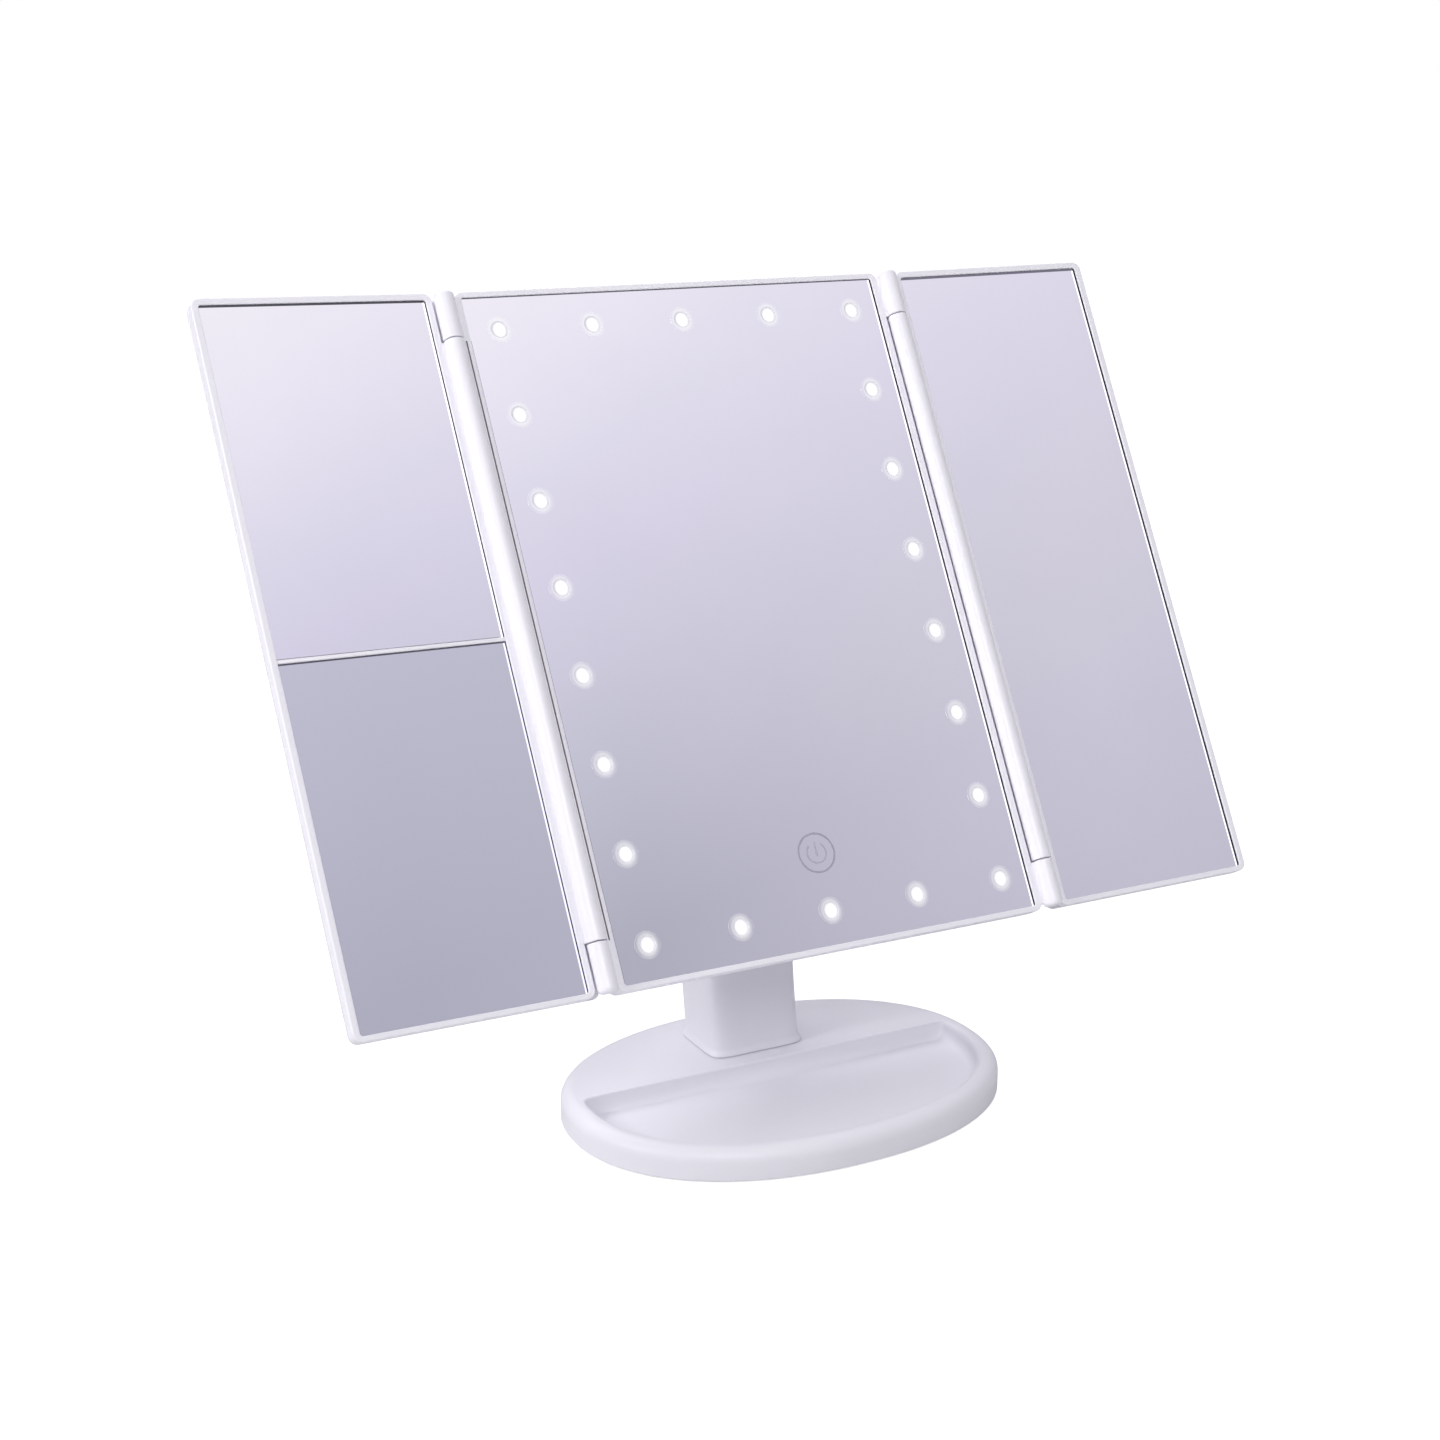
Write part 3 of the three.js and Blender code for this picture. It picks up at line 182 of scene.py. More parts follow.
def plastic(name, tones, paintedGapShade=None):
    # Faint clouds between two tones, a fine grain in sheen and relief, and if wanted a painted shade line
    # where a gap lies in shadow
    pale, deep, rough, grain, relief = tones
    paint = newPaint(name)
    cloud, fine = paint.noise(14, 2, 0.5), paint.noise(grain, 3, 0.55)
    tone = paint.blend(paint.spread(cloud, middling), pale, deep)
    # painted shade: the band below darkens the given stretch of the panel, where a gap lies in shadow
    if paintedGapShade:
        inside = 1
        for direction, (low, high) in ((panelRight, paintedGapShade["across"]), (panelUp, paintedGapShade["up"])):
            place = paint.along(tiltPlace, direction)
            inside = paint.times(inside, paint.math("GREATER_THAN", place, low))
            inside = paint.times(inside, paint.math("LESS_THAN", place, high))
        tone = paint.blend(inside, tone, paintedGapShade["tone"])
    paint.surface({"Base Color": tone, "IOR": 1.49,
                   "Roughness": paint.spread(fine, middling, (rough - 0.05, rough + 0.06)),
                   "Normal": paint.bump(fine, relief, 0.00006)})


def metal(name, tones):
    pale, deep, rough, grain = tones
    paint = newPaint(name)
    fine = paint.noise(grain, 4, 0.6)
    paint.surface({"Base Color": paint.blend(paint.spread(fine, middling), pale, deep), "Metallic": 1,
                   "Roughness": paint.spread(fine, middling, (rough, rough + 0.14)),
                   "Normal": paint.bump(fine, 0.2, 0.00004)})


for name, tones in plasticTones.items():
    plastic(name, tones)
for name, tones in metalTones.items():
    metal(name, tones)


def dress(material, *names):
    for name in names:
        slots = frame["nodes"][name].data.materials
        slots.clear()
        slots.append(materials[material])


def nodesWith(*parts):
    return [name for name in frame["nodes"] if any(part in name for part in parts)]


dress("basePlastic", "base_bottom_cover")
dress("steelMetal", "ballast_plate", "tilt_axle", "axle_nut", *nodesWith("_screw_", "_hinge_pin_"))
dress("nickelMetal", "usb_socket", *nodesWith("battery_contact"))
dress("boardGreen", "led_board", "touch_sensor_board", "control_board")
dress("cellJacket", *["battery_%d" % number for number in (1, 2, 3, 4)])
dress("washerGrey", *nodesWith("friction_washer"))
print("materials on the CAD nodes")


# Surfaces from grids of points
def closedGrid(rings, loop=False):
    # rings[i, j] is a point: j runs round a closed ring and i from ring to ring. Without loop, the
    # first and last ring are closed by a face each.
    count, around = rings.shape[:2]
    index = np.arange(count * around).reshape(count, around)
    upper = np.roll(index, -1, 0) if loop else index[1:]
    lower = index if loop else index[:-1]
    quads = np.stack([lower, np.roll(lower, -1, 1), np.roll(upper, -1, 1), upper], -1).reshape(-1, 4)
    faces = quads.tolist()
    if not loop:
        faces += [index[0, ::-1].tolist(), index[-1].tolist()]
    return rings.reshape(-1, 3), faces


def meshOf(name, shells, place):
    # One mesh from several closed shells, in metres, with every face turned outward
    points, faces, start = [], [], 0
    for corners, sides in shells:
        points.append(corners)
        faces += [[corner + start for corner in side] for side in sides]
        start += len(corners)
    mesh = bpy.data.meshes.new(name)
    mesh.from_pydata((place(np.concatenate(points)) * mm).tolist(), [], faces)
    tidy = bmesh.new()
    tidy.from_mesh(mesh)
    bmesh.ops.remove_doubles(tidy, verts=tidy.verts, dist=1e-7)
    bmesh.ops.recalc_face_normals(tidy, faces=tidy.faces)
    tidy.to_mesh(mesh)
    tidy.free()
    return mesh


def finishPiece(mesh, material, body, nodes, sharp=38):
    # Shading is smooth except where two faces meet at more than the sharp angle
    mesh.shade_smooth()
    mesh.set_sharp_from_angle(angle=math.radians(sharp))
    mesh.materials.clear()
    mesh.materials.append(materials[material])
    piece = placed(mesh.name, mesh)
    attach(piece, body)
    if nodes:
        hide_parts(*nodes)
    print("made", mesh.name, len(mesh.polygons), "faces")


def combined(name, place, first, steps):
    # A solid joined with, cut by or kept inside others in turn; steps holds (operation, shell)
    solid = placed(name, meshOf(name, [first], place))
    tools = [placed("tool", meshOf("tool", [shell], place)) for _, shell in steps]
    for tool, (operation, _) in zip(tools, steps):
        change = solid.modifiers.new("step", "BOOLEAN")
        change.operation, change.solver, change.object = operation, "EXACT", tool
    depsgraph = bpy.context.evaluated_depsgraph_get()
    result = bpy.data.meshes.new_from_object(solid.evaluated_get(depsgraph))
    for piece in (solid, *tools):
        old = piece.data
        bpy.data.objects.remove(piece)
        bpy.data.meshes.remove(old)
    result.name = name
    return result


def asDrawn(points):
    return points


# Panel pieces are drawn looking at the glass: x right, y up from the tilt axis, z out of the glass
tiltPlace = np.array(joints["panel_tilt"]["pos_m"]) / mm
panelRight = np.array([1.0, 0.0, 0.0])
panelUp = np.array(joints["left_wing_fold"]["axis"])
panelOut = np.cross(panelRight, panelUp)
axisBehindGlass = 15.0
wingHinge = {"x": 84.5, "lift": 1.5, "turn": {-1: math.radians(3), 1: math.radians(1)}}
wingBody = {-1: "left_wing", 1: "right_wing"}


def onPanel(points):
    x, y, z = points.T
    return (tiltPlace + x[:, None] * panelRight + y[:, None] * panelUp
            + (z[:, None] + axisBehindGlass) * panelOut)


def onWing(side):
    # x runs outwards from the hinge axis, turned forward about it by the fold at rest
    def place(points):
        x, y, z = points.T
        up = z - wingHinge["lift"]
        c, s = math.cos(wingHinge["turn"][side]), math.sin(wingHinge["turn"][side])
        across = side * (wingHinge["x"] + x * c - up * s)
        return onPanel(np.stack([across, y, wingHinge["lift"] + x * s + up * c], -1))
    return place


def roundedProfile(corners, radii, steps=5, margin=0.06):
    # Each corner of a closed polygon becomes an arc that touches both of its sides, with a point a
    # little way along each side so that the flat stays flat in shading.
    p = np.array(corners, float)
    r = np.array(radii, float)[:, None]
    toLast = np.roll(p, 1, 0) - p
    toNext = np.roll(p, -1, 0) - p
    a = toLast / np.linalg.norm(toLast, axis=1, keepdims=True)
    b = toNext / np.linalg.norm(toNext, axis=1, keepdims=True)
    opening = np.arccos(np.clip((a * b).sum(1, keepdims=True), -1, 1))
    reach = r / np.tan(opening / 2)
    middle = (a + b) / np.linalg.norm(a + b, axis=1, keepdims=True)
    centre = p + middle * r / np.sin(opening / 2)
    first, last = p + a * reach - centre, p + b * reach - centre
    sweep = (math.pi - opening)[:, :, None]
    share = np.linspace(0, 1, steps + 1)[None, :, None]
    arc = np.sin((1 - share) * sweep) * first[:, None] + np.sin(share * sweep) * last[:, None]
    arc = centre[:, None] + arc / np.sin(sweep)
    before = (p + a * (reach + margin))[:, None]
    after = (p + b * (reach + margin))[:, None]
    return np.concatenate([before, arc, after], 1).reshape(-1, 2)


def rectangleRings(left, right, bottom, top, corner, steps=7, margin=0.5):
    # Rounded rectangles, one for each entry of the arrays: four quarter circles joined by straights,
    # with a point just past each end of an arc.
    left, right, bottom, top, corner = np.broadcast_arrays(left, right, bottom, top, corner)
    angle = np.linspace(0, math.pi / 2, steps + 1)
    angles = np.concatenate([angle + turn * math.pi / 2 for turn in range(4)])
    cx = np.stack([right - corner, left + corner, left + corner, right - corner], -1).repeat(steps + 1, -1)
    cy = np.stack([top - corner, top - corner, bottom + corner, bottom + corner], -1).repeat(steps + 1, -1)
    x = cx + corner[..., None] * np.cos(angles)
    y = cy + corner[..., None] * np.sin(angles)
    ring = np.stack([x, y], -1).reshape(*x.shape[:-1], 4, steps + 1, 2)
    past = np.array([[0, -1], [1, 0], [0, 1], [-1, 0]]) * margin
    before = ring[..., :1, :] + past[:, None]
    after = ring[..., -1:, :] + np.roll(past, 1, 0)[:, None]
    return np.concatenate([before, ring, after], -2).reshape(*x.shape[:-1], -1, 2)


def stacked(rings, heights, loop=False):
    # A closed grid from rings of (x, y) and z: one height for each ring or one for each point
    z = np.asarray(heights, float).reshape(len(rings), -1, 1)
    return closedGrid(np.concatenate([rings, np.broadcast_to(z, (*rings.shape[:2], 1))], -1), loop)


def turnedRings(outline, around=40):
    # A profile of (radius, height) carried round the z axis
    angle = np.linspace(0, 2 * math.pi, around, endpoint=False)
    radius, height = outline[:, 0, None], outline[:, 1, None]
    x, y = radius * np.cos(angle), radius * np.sin(angle)
    return np.stack([x, y, np.broadcast_to(height, x.shape)], -1)


def quarter(steps):
    # Run and rise of a quarter circle of radius 1 that starts upright
    angle = np.linspace(0, math.pi / 2, steps + 1)
    return 1 - np.cos(angle), np.sin(angle)


def roundedBlock(low, high, radius):
    # A block from low to high with rounded plan corners and softly broken end faces
    run, rise = quarter(3)
    inset = radius * np.concatenate([run[::-1], run])
    z = np.concatenate([low[2] + radius * (1 - rise[::-1]), high[2] - radius * (1 - rise)])
    rings = rectangleRings(low[0] + inset, high[0] - inset, low[1] + inset, high[1] - inset,
                           np.maximum(2 * radius - inset, 0.05), 4, 0.1)
    return stacked(rings, z)


def edgedBody(sides, corner, back, edge, insets, heights, edgeSteps, cornerSteps):
    # Rounded rectangles from the back face, round a quarter-round edge, then through more insets
    run, rise = quarter(edgeSteps)
    inset = np.concatenate([edge * run[::-1], insets])
    z = np.concatenate([back + edge * (1 - rise[::-1]), heights])
    left, right, bottom, top = sides
    rings = rectangleRings(left + inset, right - inset, bottom + inset, top - inset,
                           np.maximum(corner - inset, 1), cornerSteps)
    return stacked(rings, z)


base = {
    "halfWidth": 80.5, "halfDepth": 58.5, "roundness": 2.18,
    "foot": 0.8, "top": 11.8, "edge": 4.5, "wall": 2.2, "topWall": 2.4,
    "trayInset": 7.4, "trayBack": 9, "trayFloor": 5.3, "trayCorner": 3,
    "round": 3.4, "backRound": 4.6,  # fillet at the wall's foot, round the front and along the back
    "lip": 1.8, "backLip": 0.8,  # edge radius, in the same two places
    "turnFrom": 0.30, "turnOver": 0.12,  # sine of the angle where the front's radii become the back's
    "footEdge": 0.4, "floorWall": 1.8,
    "middle": -20,  # all rings are measured from this point on the y axis
    "columns": 320, "gatherOver": 0.07, "gather": 9,  # points round a ring, and more of them at the corners
    "cornerPower": 125.5,  # over the tray's corner radius: the power of the mean that rounds it
}


def baseAngles(spec):
    # Angles round the middle, closer together at the two rear corners of the tray
    back, middle, halfWidth, over = pick(spec, "trayBack middle halfWidth gatherOver")
    even = np.linspace(0, 2 * math.pi, 4001)
    corner = math.atan2(back - middle, halfWidth - 10)
    near = sum(np.exp(-((even - place) / over) ** 2) for place in (corner, math.pi - corner))
    amount = np.concatenate([[0], np.cumsum(1 + spec["gather"] * near)[:-1]])
    return np.interp(np.linspace(0, amount[-1], spec["columns"], endpoint=False), amount, even)


def ovalReach(spec, inset, angles):
    # Distance from the middle to the oval |x/a|^n + |y/b|^n = 1, moved in by inset
    halfWidth, halfDepth, roundness, middle = pick(spec, "halfWidth halfDepth roundness middle")
    t = np.linspace(0, 2 * math.pi, 6000, endpoint=False)
    c, s, power = np.cos(t), np.sin(t), 2 / roundness
    x = (halfWidth - inset) * np.sign(c) * abs(c) ** power
    y = (halfDepth - inset) * np.sign(s) * abs(s) ** power - middle
    bearing = np.arctan2(y, x) % (2 * math.pi)
    order = np.argsort(bearing)
    return np.interp(angles, bearing[order], np.hypot(x, y)[order], period=2 * math.pi)


def trayReach(spec, angles):
    # The oval moved in, met by the straight back edge; a high power mean rounds the corner
    inset, back, middle, corner, power = pick(spec, "trayInset trayBack middle trayCorner cornerPower")
    oval = ovalReach(spec, inset, angles)
    straight, power = (back - middle) / np.maximum(np.sin(angles), 0.02), power / corner
    return oval * (1 + (oval / straight) ** power) ** (-1 / power)


def makeBase(spec):
    # Rings from the middle of the tray's floor, up its wall, over the deck, down the outside and back
    # inside to the middle. Each ring lies a share of the way from the tray's outline to the oval.
    angles = baseAngles(spec)
    run, rise = quarter(6)
    floor, top, foot, edge, wall, footEdge = pick(spec, "trayFloor top foot edge wall footEdge")
    lip, backLip, fillet, backFillet, topWall = pick(spec, "lip backLip round backRound topWall")
    turn = np.clip((np.sin(angles) - spec["turnFrom"]) / spec["turnOver"], 0, 1)
    turn = turn * turn * (3 - 2 * turn)
    lip = lip + (backLip - lip) * turn
    fillet = fillet + (backFillet - fillet) * turn
    ceiling = top - topWall
    # Columns: scale, growth of the tray in mm, in lips and in fillets, inset of the oval, share of the
    # oval, height, drop in lips, rise in fillets
    stops = [(share, 0, 0, -1, 0, 0, floor, 0, 0) for share in (0.02, 0.25, 0.5, 0.75, 0.93, 0.995)]
    stops += [(1, 0, 0, -r, 0, 0, floor, 0, 1 - u) for r, u in zip(run[::-1], rise[::-1])]
    stops += [(1, 0, 0, 0, 0, 0, floor + 0.1, 0, 1), (1, 0, 0, 0, 0, 0, top - 0.1, 1, 0)]
    stops += [(1, 0, r, 0, 0, 0, top, 1 - u, 0) for r, u in zip(run, rise)]
    stops += [(1, 0.1, 1, 0, edge, share, top, 0, 0) for share in (0, 0.02, 0.25, 0.5, 0.75, 0.98)]
    stops += [(1, 0, 0, 0, edge * r, 1, top - edge * (1 - u), 0, 0)
              for r, u in zip(run[::-1], rise[::-1])]
    stops += [(1, 0, 0, 0, 0, 1, height, 0, 0) for height in (top - edge - 0.3, foot + 0.6)]
    stops += [(1, 0, 0, 0, footEdge * r, 1, foot + footEdge * (1 - u), 0, 0)
              for r, u in zip(run[::2], rise[::2])]
    stops += [(1, 0, 0, 0, wall, 1, height, 0, 0) for height in (foot, ceiling - 2)]
    stops += [(1, 0, 0, 0, wall + 2, 1, ceiling, 0, 0)]
    stops += [(1, wall, 0, 0, wall + 2, share, ceiling, 0, 0) for share in (0.98, 0.5, 0)]
    stops += [(share, wall, 0, 0, 0, 0, floor - spec["floorWall"], 0, 0) for share in (1, 0.5, 0.02)]
    scale, grow, lips, fillets, inset, share, height, drop, lift = np.array(stops).T[:, :, None]
    tray = trayReach(spec, angles) + grow + lips * lip + fillets * fillet
    rim = np.array([ovalReach(spec, value, angles) for value in inset[:, 0]])
    reach = scale * ((1 - share) * tray + share * rim)
    rings = np.stack([reach * np.cos(angles), reach * np.sin(angles) + spec["middle"]], -1)
    mesh = meshOf("trayBase", [stacked(rings, height - drop * lip + lift * fillet)], asDrawn)
    finishPiece(mesh, "basePlastic", "base", ["base_shell"], 50)


makeBase(base)

foot = {"radius": 5, "height": 1.1, "edge": 0.4, "inset": 13, "bearings": (212, -32, 148, 32)}


def makeFeet(spec):
    # Four soft pads on a smaller oval under the base
    radius, height, edge, inset, bearings = pick(spec, "radius height edge inset bearings")
    outline = roundedProfile([(0.2, 0), (radius, 0), (radius, height), (0.2, height)],
                             [0.05, edge, 0.2, 0.05])
    power = 2 / base["roundness"]
    for number, bearing in enumerate(np.radians(bearings), 1):
        c, s = math.cos(bearing), math.sin(bearing)
        x = (base["halfWidth"] - inset) * math.copysign(abs(c) ** power, c)
        y = (base["halfDepth"] - inset) * math.copysign(abs(s) ** power, s)
        pad = closedGrid(turnedRings(outline) + np.array([x, y, 0]))
        finishPiece(meshOf("foot%d" % number, [pad], asDrawn), "footRubber", "base",
                    ["base_foot_%d" % number])


makeFeet(foot)

neck = {
    "footY": 30.6, "footZ": 12.1, "halfWidth": 17.9, "halfDepth": 13.8, "roundness": 6.5,
    "skirt": 0.9, "skirtHeight": 2.2, "lean": 10.5, "footReach": 55,
    "headReach": 58, "headLean": 2.8, "headHalfWidth": 14.2, "headRadius": 8,
    "collar": 2.2, "collarStart": 0.2, "taperEnd": 0.95,  # the last two are shares of the height
    "crown": (15, 30, 45, 58, 70, 80, 87), "columns": 120,  # degrees over the head, points round a ring
}


def makeNeck(spec):
    # Superellipses |x/a|^n + |y/b|^n = 1 carried up a cubic Bezier line, then over the hinge head
    lean, headLean = np.radians(pick(spec, "lean headLean"))
    halfWidth, halfDepth, headHalf, headRadius = pick(spec, "halfWidth halfDepth headHalfWidth headRadius")
    begin, end, collar, skirt = pick(spec, "collarStart taperEnd collar skirt")
    start, head = np.array(pick(spec, "footY footZ")), tiltPlace[1:]
    near = start + spec["footReach"] * np.array([math.sin(lean), math.cos(lean)])
    far = head + spec["headReach"] * np.array([math.sin(headLean), -math.cos(headLean)])
    reach = collar / np.linalg.norm(head - start)
    t = np.concatenate([np.linspace(0, 0.03, 9), np.linspace(0.04, begin, 8)[:-1],
                        begin + reach * quarter(6)[1], np.linspace(begin + reach, 1, 36)[1:]])
    s = t[:, None]
    line = (1 - s) ** 3 * start + 3 * s * (1 - s) ** 2 * near + 3 * s ** 2 * (1 - s) * far + s ** 3 * head
    ease = np.clip((t - begin) / (end - begin), 0, 1)
    ease = ease * ease * (3 - 2 * ease)
    wide = halfWidth + collar * (1 - np.sqrt(1 - np.clip((t - begin) / reach, 0, 1) ** 2))
    wide = wide + (headHalf - wide) * ease
    deep = halfDepth + (headRadius - halfDepth) * ease
    skirt = skirt * (1 - np.clip((line[:, 1] - start[1] - 0.5) / spec["skirtHeight"], 0, 1)) ** 2
    over = np.radians(spec["crown"])
    crown = np.stack([np.full(len(over), head[0]), head[1] + headRadius * np.sin(over)], -1)
    rows = np.concatenate([line, crown])
    wide = np.concatenate([wide + skirt, np.full(len(over), headHalf)])
    deep = np.concatenate([deep + skirt, headRadius * np.cos(over)])
    angle = np.linspace(0, 2 * math.pi, spec["columns"], endpoint=False)
    c, s = np.cos(angle), np.sin(angle)
    power = 2 / spec["roundness"]
    x = wide[:, None] * np.sign(c) * abs(c) ** power
    y = rows[:, :1] + deep[:, None] * np.sign(s) * abs(s) ** power
    column = closedGrid(np.stack([x, y, np.broadcast_to(rows[:, 1:], x.shape)], -1))
    finishPiece(meshOf("neckColumn", [column], asDrawn), "neckPlastic", "base", ["neck_column"])


makeNeck(neck)

frames = {
    "bottom": -123.5, "top": 113.5, "corner": 3, "lip": 0.62, "lipRound": 0.42,
    "centerHalfWidth": 80.65, "centerDepth": 5, "centerLedge": 3.2,
    "barrelRadius": 3.42, "knuckle": 16.9, "gap": 0.4, "endRound": 1.6, "setBack": 0.5,
    "jointRound": 0.4, "overlap": 0.9,  # how far the webs and the lips under the barrels run into a bezel
    "webLow": -2.6, "webHigh": 0.6, "lipLow": -4.8, "lipHigh": -2.4, "lipFromAxis": 0.6,
    "wingInner": 3.85, "wingOuter": 84.15, "wingDepth": 3.4, "wingLedge": 2.3,
}
centerBezel = {"left": 2.45, "right": 2.45, "bottom": 1.9, "top": 1.9}
wingBezel = {"left": 2.25, "right": 2.35, "bottom": 1.8, "top": 2.2}
# Painted shade: a dark line on the bezel beside the left wing's barrel, where the gap there lies in shadow,
# in mm across the panel and up it
paintedGapShade = {"across": (-80.1, -79.6), "up": (-106.4, 96.4), "tone": (0.13, 0.10, 0.12)}
divider = {"height": -5, "width": 1.3, "lip": 0.5}  # between the two left glasses


def bezelRing(outer, widths, depth, ledge, spec):
    # The section runs (share of the bezel's width, height): round the back, up the outside, over the
    # lip, down into the pocket and along the ledge. Past 2 the share counts millimetres.
    lip = spec["lip"]
    section = roundedProfile(
        [(0, -depth), (0, lip), (2, lip), (2, -ledge), (4.5, -ledge), (4.5, -depth)],
        [0.25, spec["lipRound"], 0.22, 0.1, 0.15, 0.15])
    u, z = section.T

    def inset(width):
        return np.where(u < 2, u * width / 2, width + u - 2)
    left, right, bottom, top = outer
    corner = np.maximum(spec["corner"] - u, 0.4)
    rings = rectangleRings(left + inset(widths["left"]), right - inset(widths["right"]),
                           bottom + inset(widths["bottom"]), top - inset(widths["top"]), corner)
    return stacked(rings, z, loop=True)


def hingeBarrel(low, high, x, ends, spec):
    # A bar along y whose two ends are rounded by so much
    r = spec["barrelRadius"]
    outline = roundedProfile([(0.3, low), (r, low), (r, high), (0.3, high)], [0.05, *ends, 0.05])
    rings = turnedRings(outline, 56)[:, :, [0, 2, 1]]
    return closedGrid(rings + np.array([x, 0, wingHinge["lift"]]))


def makeCenterFrame(spec):
    # The bezel; on each side two knuckles with the webs that carry them, and a lip under the wing's barrel
    half, bottom, top, depth, ledge = pick(spec, "centerHalfWidth bottom top centerDepth centerLedge")
    back, end, joint, knuckle, overlap = pick(spec, "setBack endRound jointRound knuckle overlap")
    webLow, webHigh, lipLow, lipHigh, fromAxis = pick(spec, "webLow webHigh lipLow lipHigh lipFromAxis")
    shells = [bezelRing((-half, half, bottom, top), centerBezel, depth, ledge, spec)]
    lowJoint, highJoint = bottom + knuckle, top - knuckle
    for side in (-1, 1):
        x = side * wingHinge["x"]
        inner, outer = sorted((side * (half - overlap), x))
        shells.append(hingeBarrel(bottom + back, lowJoint, x, (end, joint), spec))
        shells.append(hingeBarrel(highJoint, top - back, x, (joint, end), spec))
        for low, high in ((bottom + back + end, lowJoint - 0.1), (highJoint + 0.1, top - back - end)):
            shells.append(roundedBlock((inner, low, webLow), (outer, high, webHigh), 0.2))
        inner, outer = sorted((side * (half - overlap), x - side * fromAxis))
        shells.append(roundedBlock((inner, lowJoint - overlap, lipLow),
                                   (outer, highJoint + overlap, lipHigh), 0.2))
    # the centre frame gets the painted shade line beside the left hinge
    plastic("gapShadePlastic", plasticTones["framePlastic"], paintedGapShade)
    finishPiece(meshOf("centerFrame", shells, onPanel), "gapShadePlastic", "panel", ["center_front_frame"])


def makeWingFrame(name, side, spec):
    # The bezel, the long barrel on its web and, on the left, the bar between the two glasses
    inner, outer, bottom, top, knuckle = pick(spec, "wingInner wingOuter bottom top knuckle")
    depth, ledge, gap, joint, overlap = pick(spec, "wingDepth wingLedge gap jointRound overlap")
    shells = [bezelRing((inner, outer, bottom, top), wingBezel, depth, ledge, spec)]
    low, high = bottom + knuckle + gap, top - knuckle - gap
    shells.append(hingeBarrel(low, high, 0, (joint, joint), spec))
    shells.append(roundedBlock((0, low + 0.1, spec["webLow"]),
                               (inner + overlap, high - 0.1, spec["webHigh"]), 0.2))
    if side < 0:
        y, half = divider["height"], divider["width"] / 2
        shells.append(roundedBlock((inner + 1.2, y - half, -depth),
                                   (outer - 1.2, y + half, divider["lip"]), 0.25))
    body = wingBody[side]
    finishPiece(meshOf(name, shells, onWing(side)), "framePlastic", body, [body + "_frame"])


makeCenterFrame(frames)
makeWingFrame("leftWingFrame", -1, frames)
makeWingFrame("rightWingFrame", 1, frames)

windows = {
    "columns": 5, "rows": 8, "right": 67.2, "bottom": -110, "top": 100,
    "stud": 3.7, "rim": 4.5, "dish": 2.9, "dishDepth": 0.15, "proud": 0.035,
    "sheetFront": -2.3, "sheetBack": -2.9, "sheetInset": 1,
    "glow": 0.58, "edgeGlow": 0.24, "halo": 0.50, "haloReach": 5.0, "core": 0.68,
    "oval": (1.12, 0.98),  # the glow is that much narrower than round across, and up the glass
    "unlitTone": (0.55, 0.55, 0.60), "turns": 48,
}
# The lower left glass's dark tint is part of a painted reflection: with an even glow it shows one grey
mirrorTints = {
    "center": (0.97, 0.97, 0.97), "right": (0.97, 0.97, 0.97),
    "upperLeft": (0.95, 0.95, 0.96), "lowerLeft": (0.44, 0.45, 0.45),
}
greyReflectionGlow = {"share": 0.28, "tone": (0.80, 0.79, 1.0)}  # painted reflection: the lower left glass glows an even grey-lavender, nearly one grey
glass = {"halfWidth": 78.2, "bottom": -121.6, "top": 111.6}


def windowPlaces(spec):
    # The outermost places of an even grid over the centre glass
    right, bottom, top, columns, rows = pick(spec, "right bottom top columns rows")
    x, y = np.meshgrid(np.linspace(-right, right, columns), np.linspace(bottom, top, rows))
    atEdge = (abs(x) > right - 1) | (y < bottom + 1) | (y > top - 1)
    return np.stack([x[atEdge], y[atEdge]], -1)


def haloAt(paint, distance, spec):
    # How far a window's glow turns the glass white at a distance from its middle
    return paint.spread(distance, (spec["dish"] + 0.1, spec["haloReach"]), (spec["halo"], 0), True)


def litPlastic(spec):
    # Two point attributes hold each point's distance from its window's middle in millimetres: the true
    # one bounds the silvered flange, the stretched one leads from the bright core to the halo
    paint = newPaint("litPlastic")
    distance, oval = (paint.add("Attribute", attribute_name=key).outputs["Fac"]
                      for key in ("fromCentre", "fromOval"))
    dish, rim, core, glow, edgeGlow = pick(spec, "dish rim core glow edgeGlow")
    silver = paint.spread(distance, (dish + 0.08, dish + 0.16))
    halo = haloAt(paint, oval, spec)
    tint = paint.blend(halo, mirrorTints["center"], (0, 0, 0))
    light = paint.spread(oval, (core * dish, dish), (glow, edgeGlow), True)
    brink = paint.spread(distance, (rim - 0.07, rim - 0.02), (0, 0.6))
    paint.surface({"Base Color": paint.blend(silver, spec["unlitTone"], tint), "Metallic": silver,
                   "Emission Strength": paint.blend(silver, light, halo, "FLOAT"),
                   "Emission Color": (1, 1, 1),
                   "Roughness": paint.math("MAXIMUM", paint.spread(silver, (0, 1), (0.35, 0.04)), brink)})


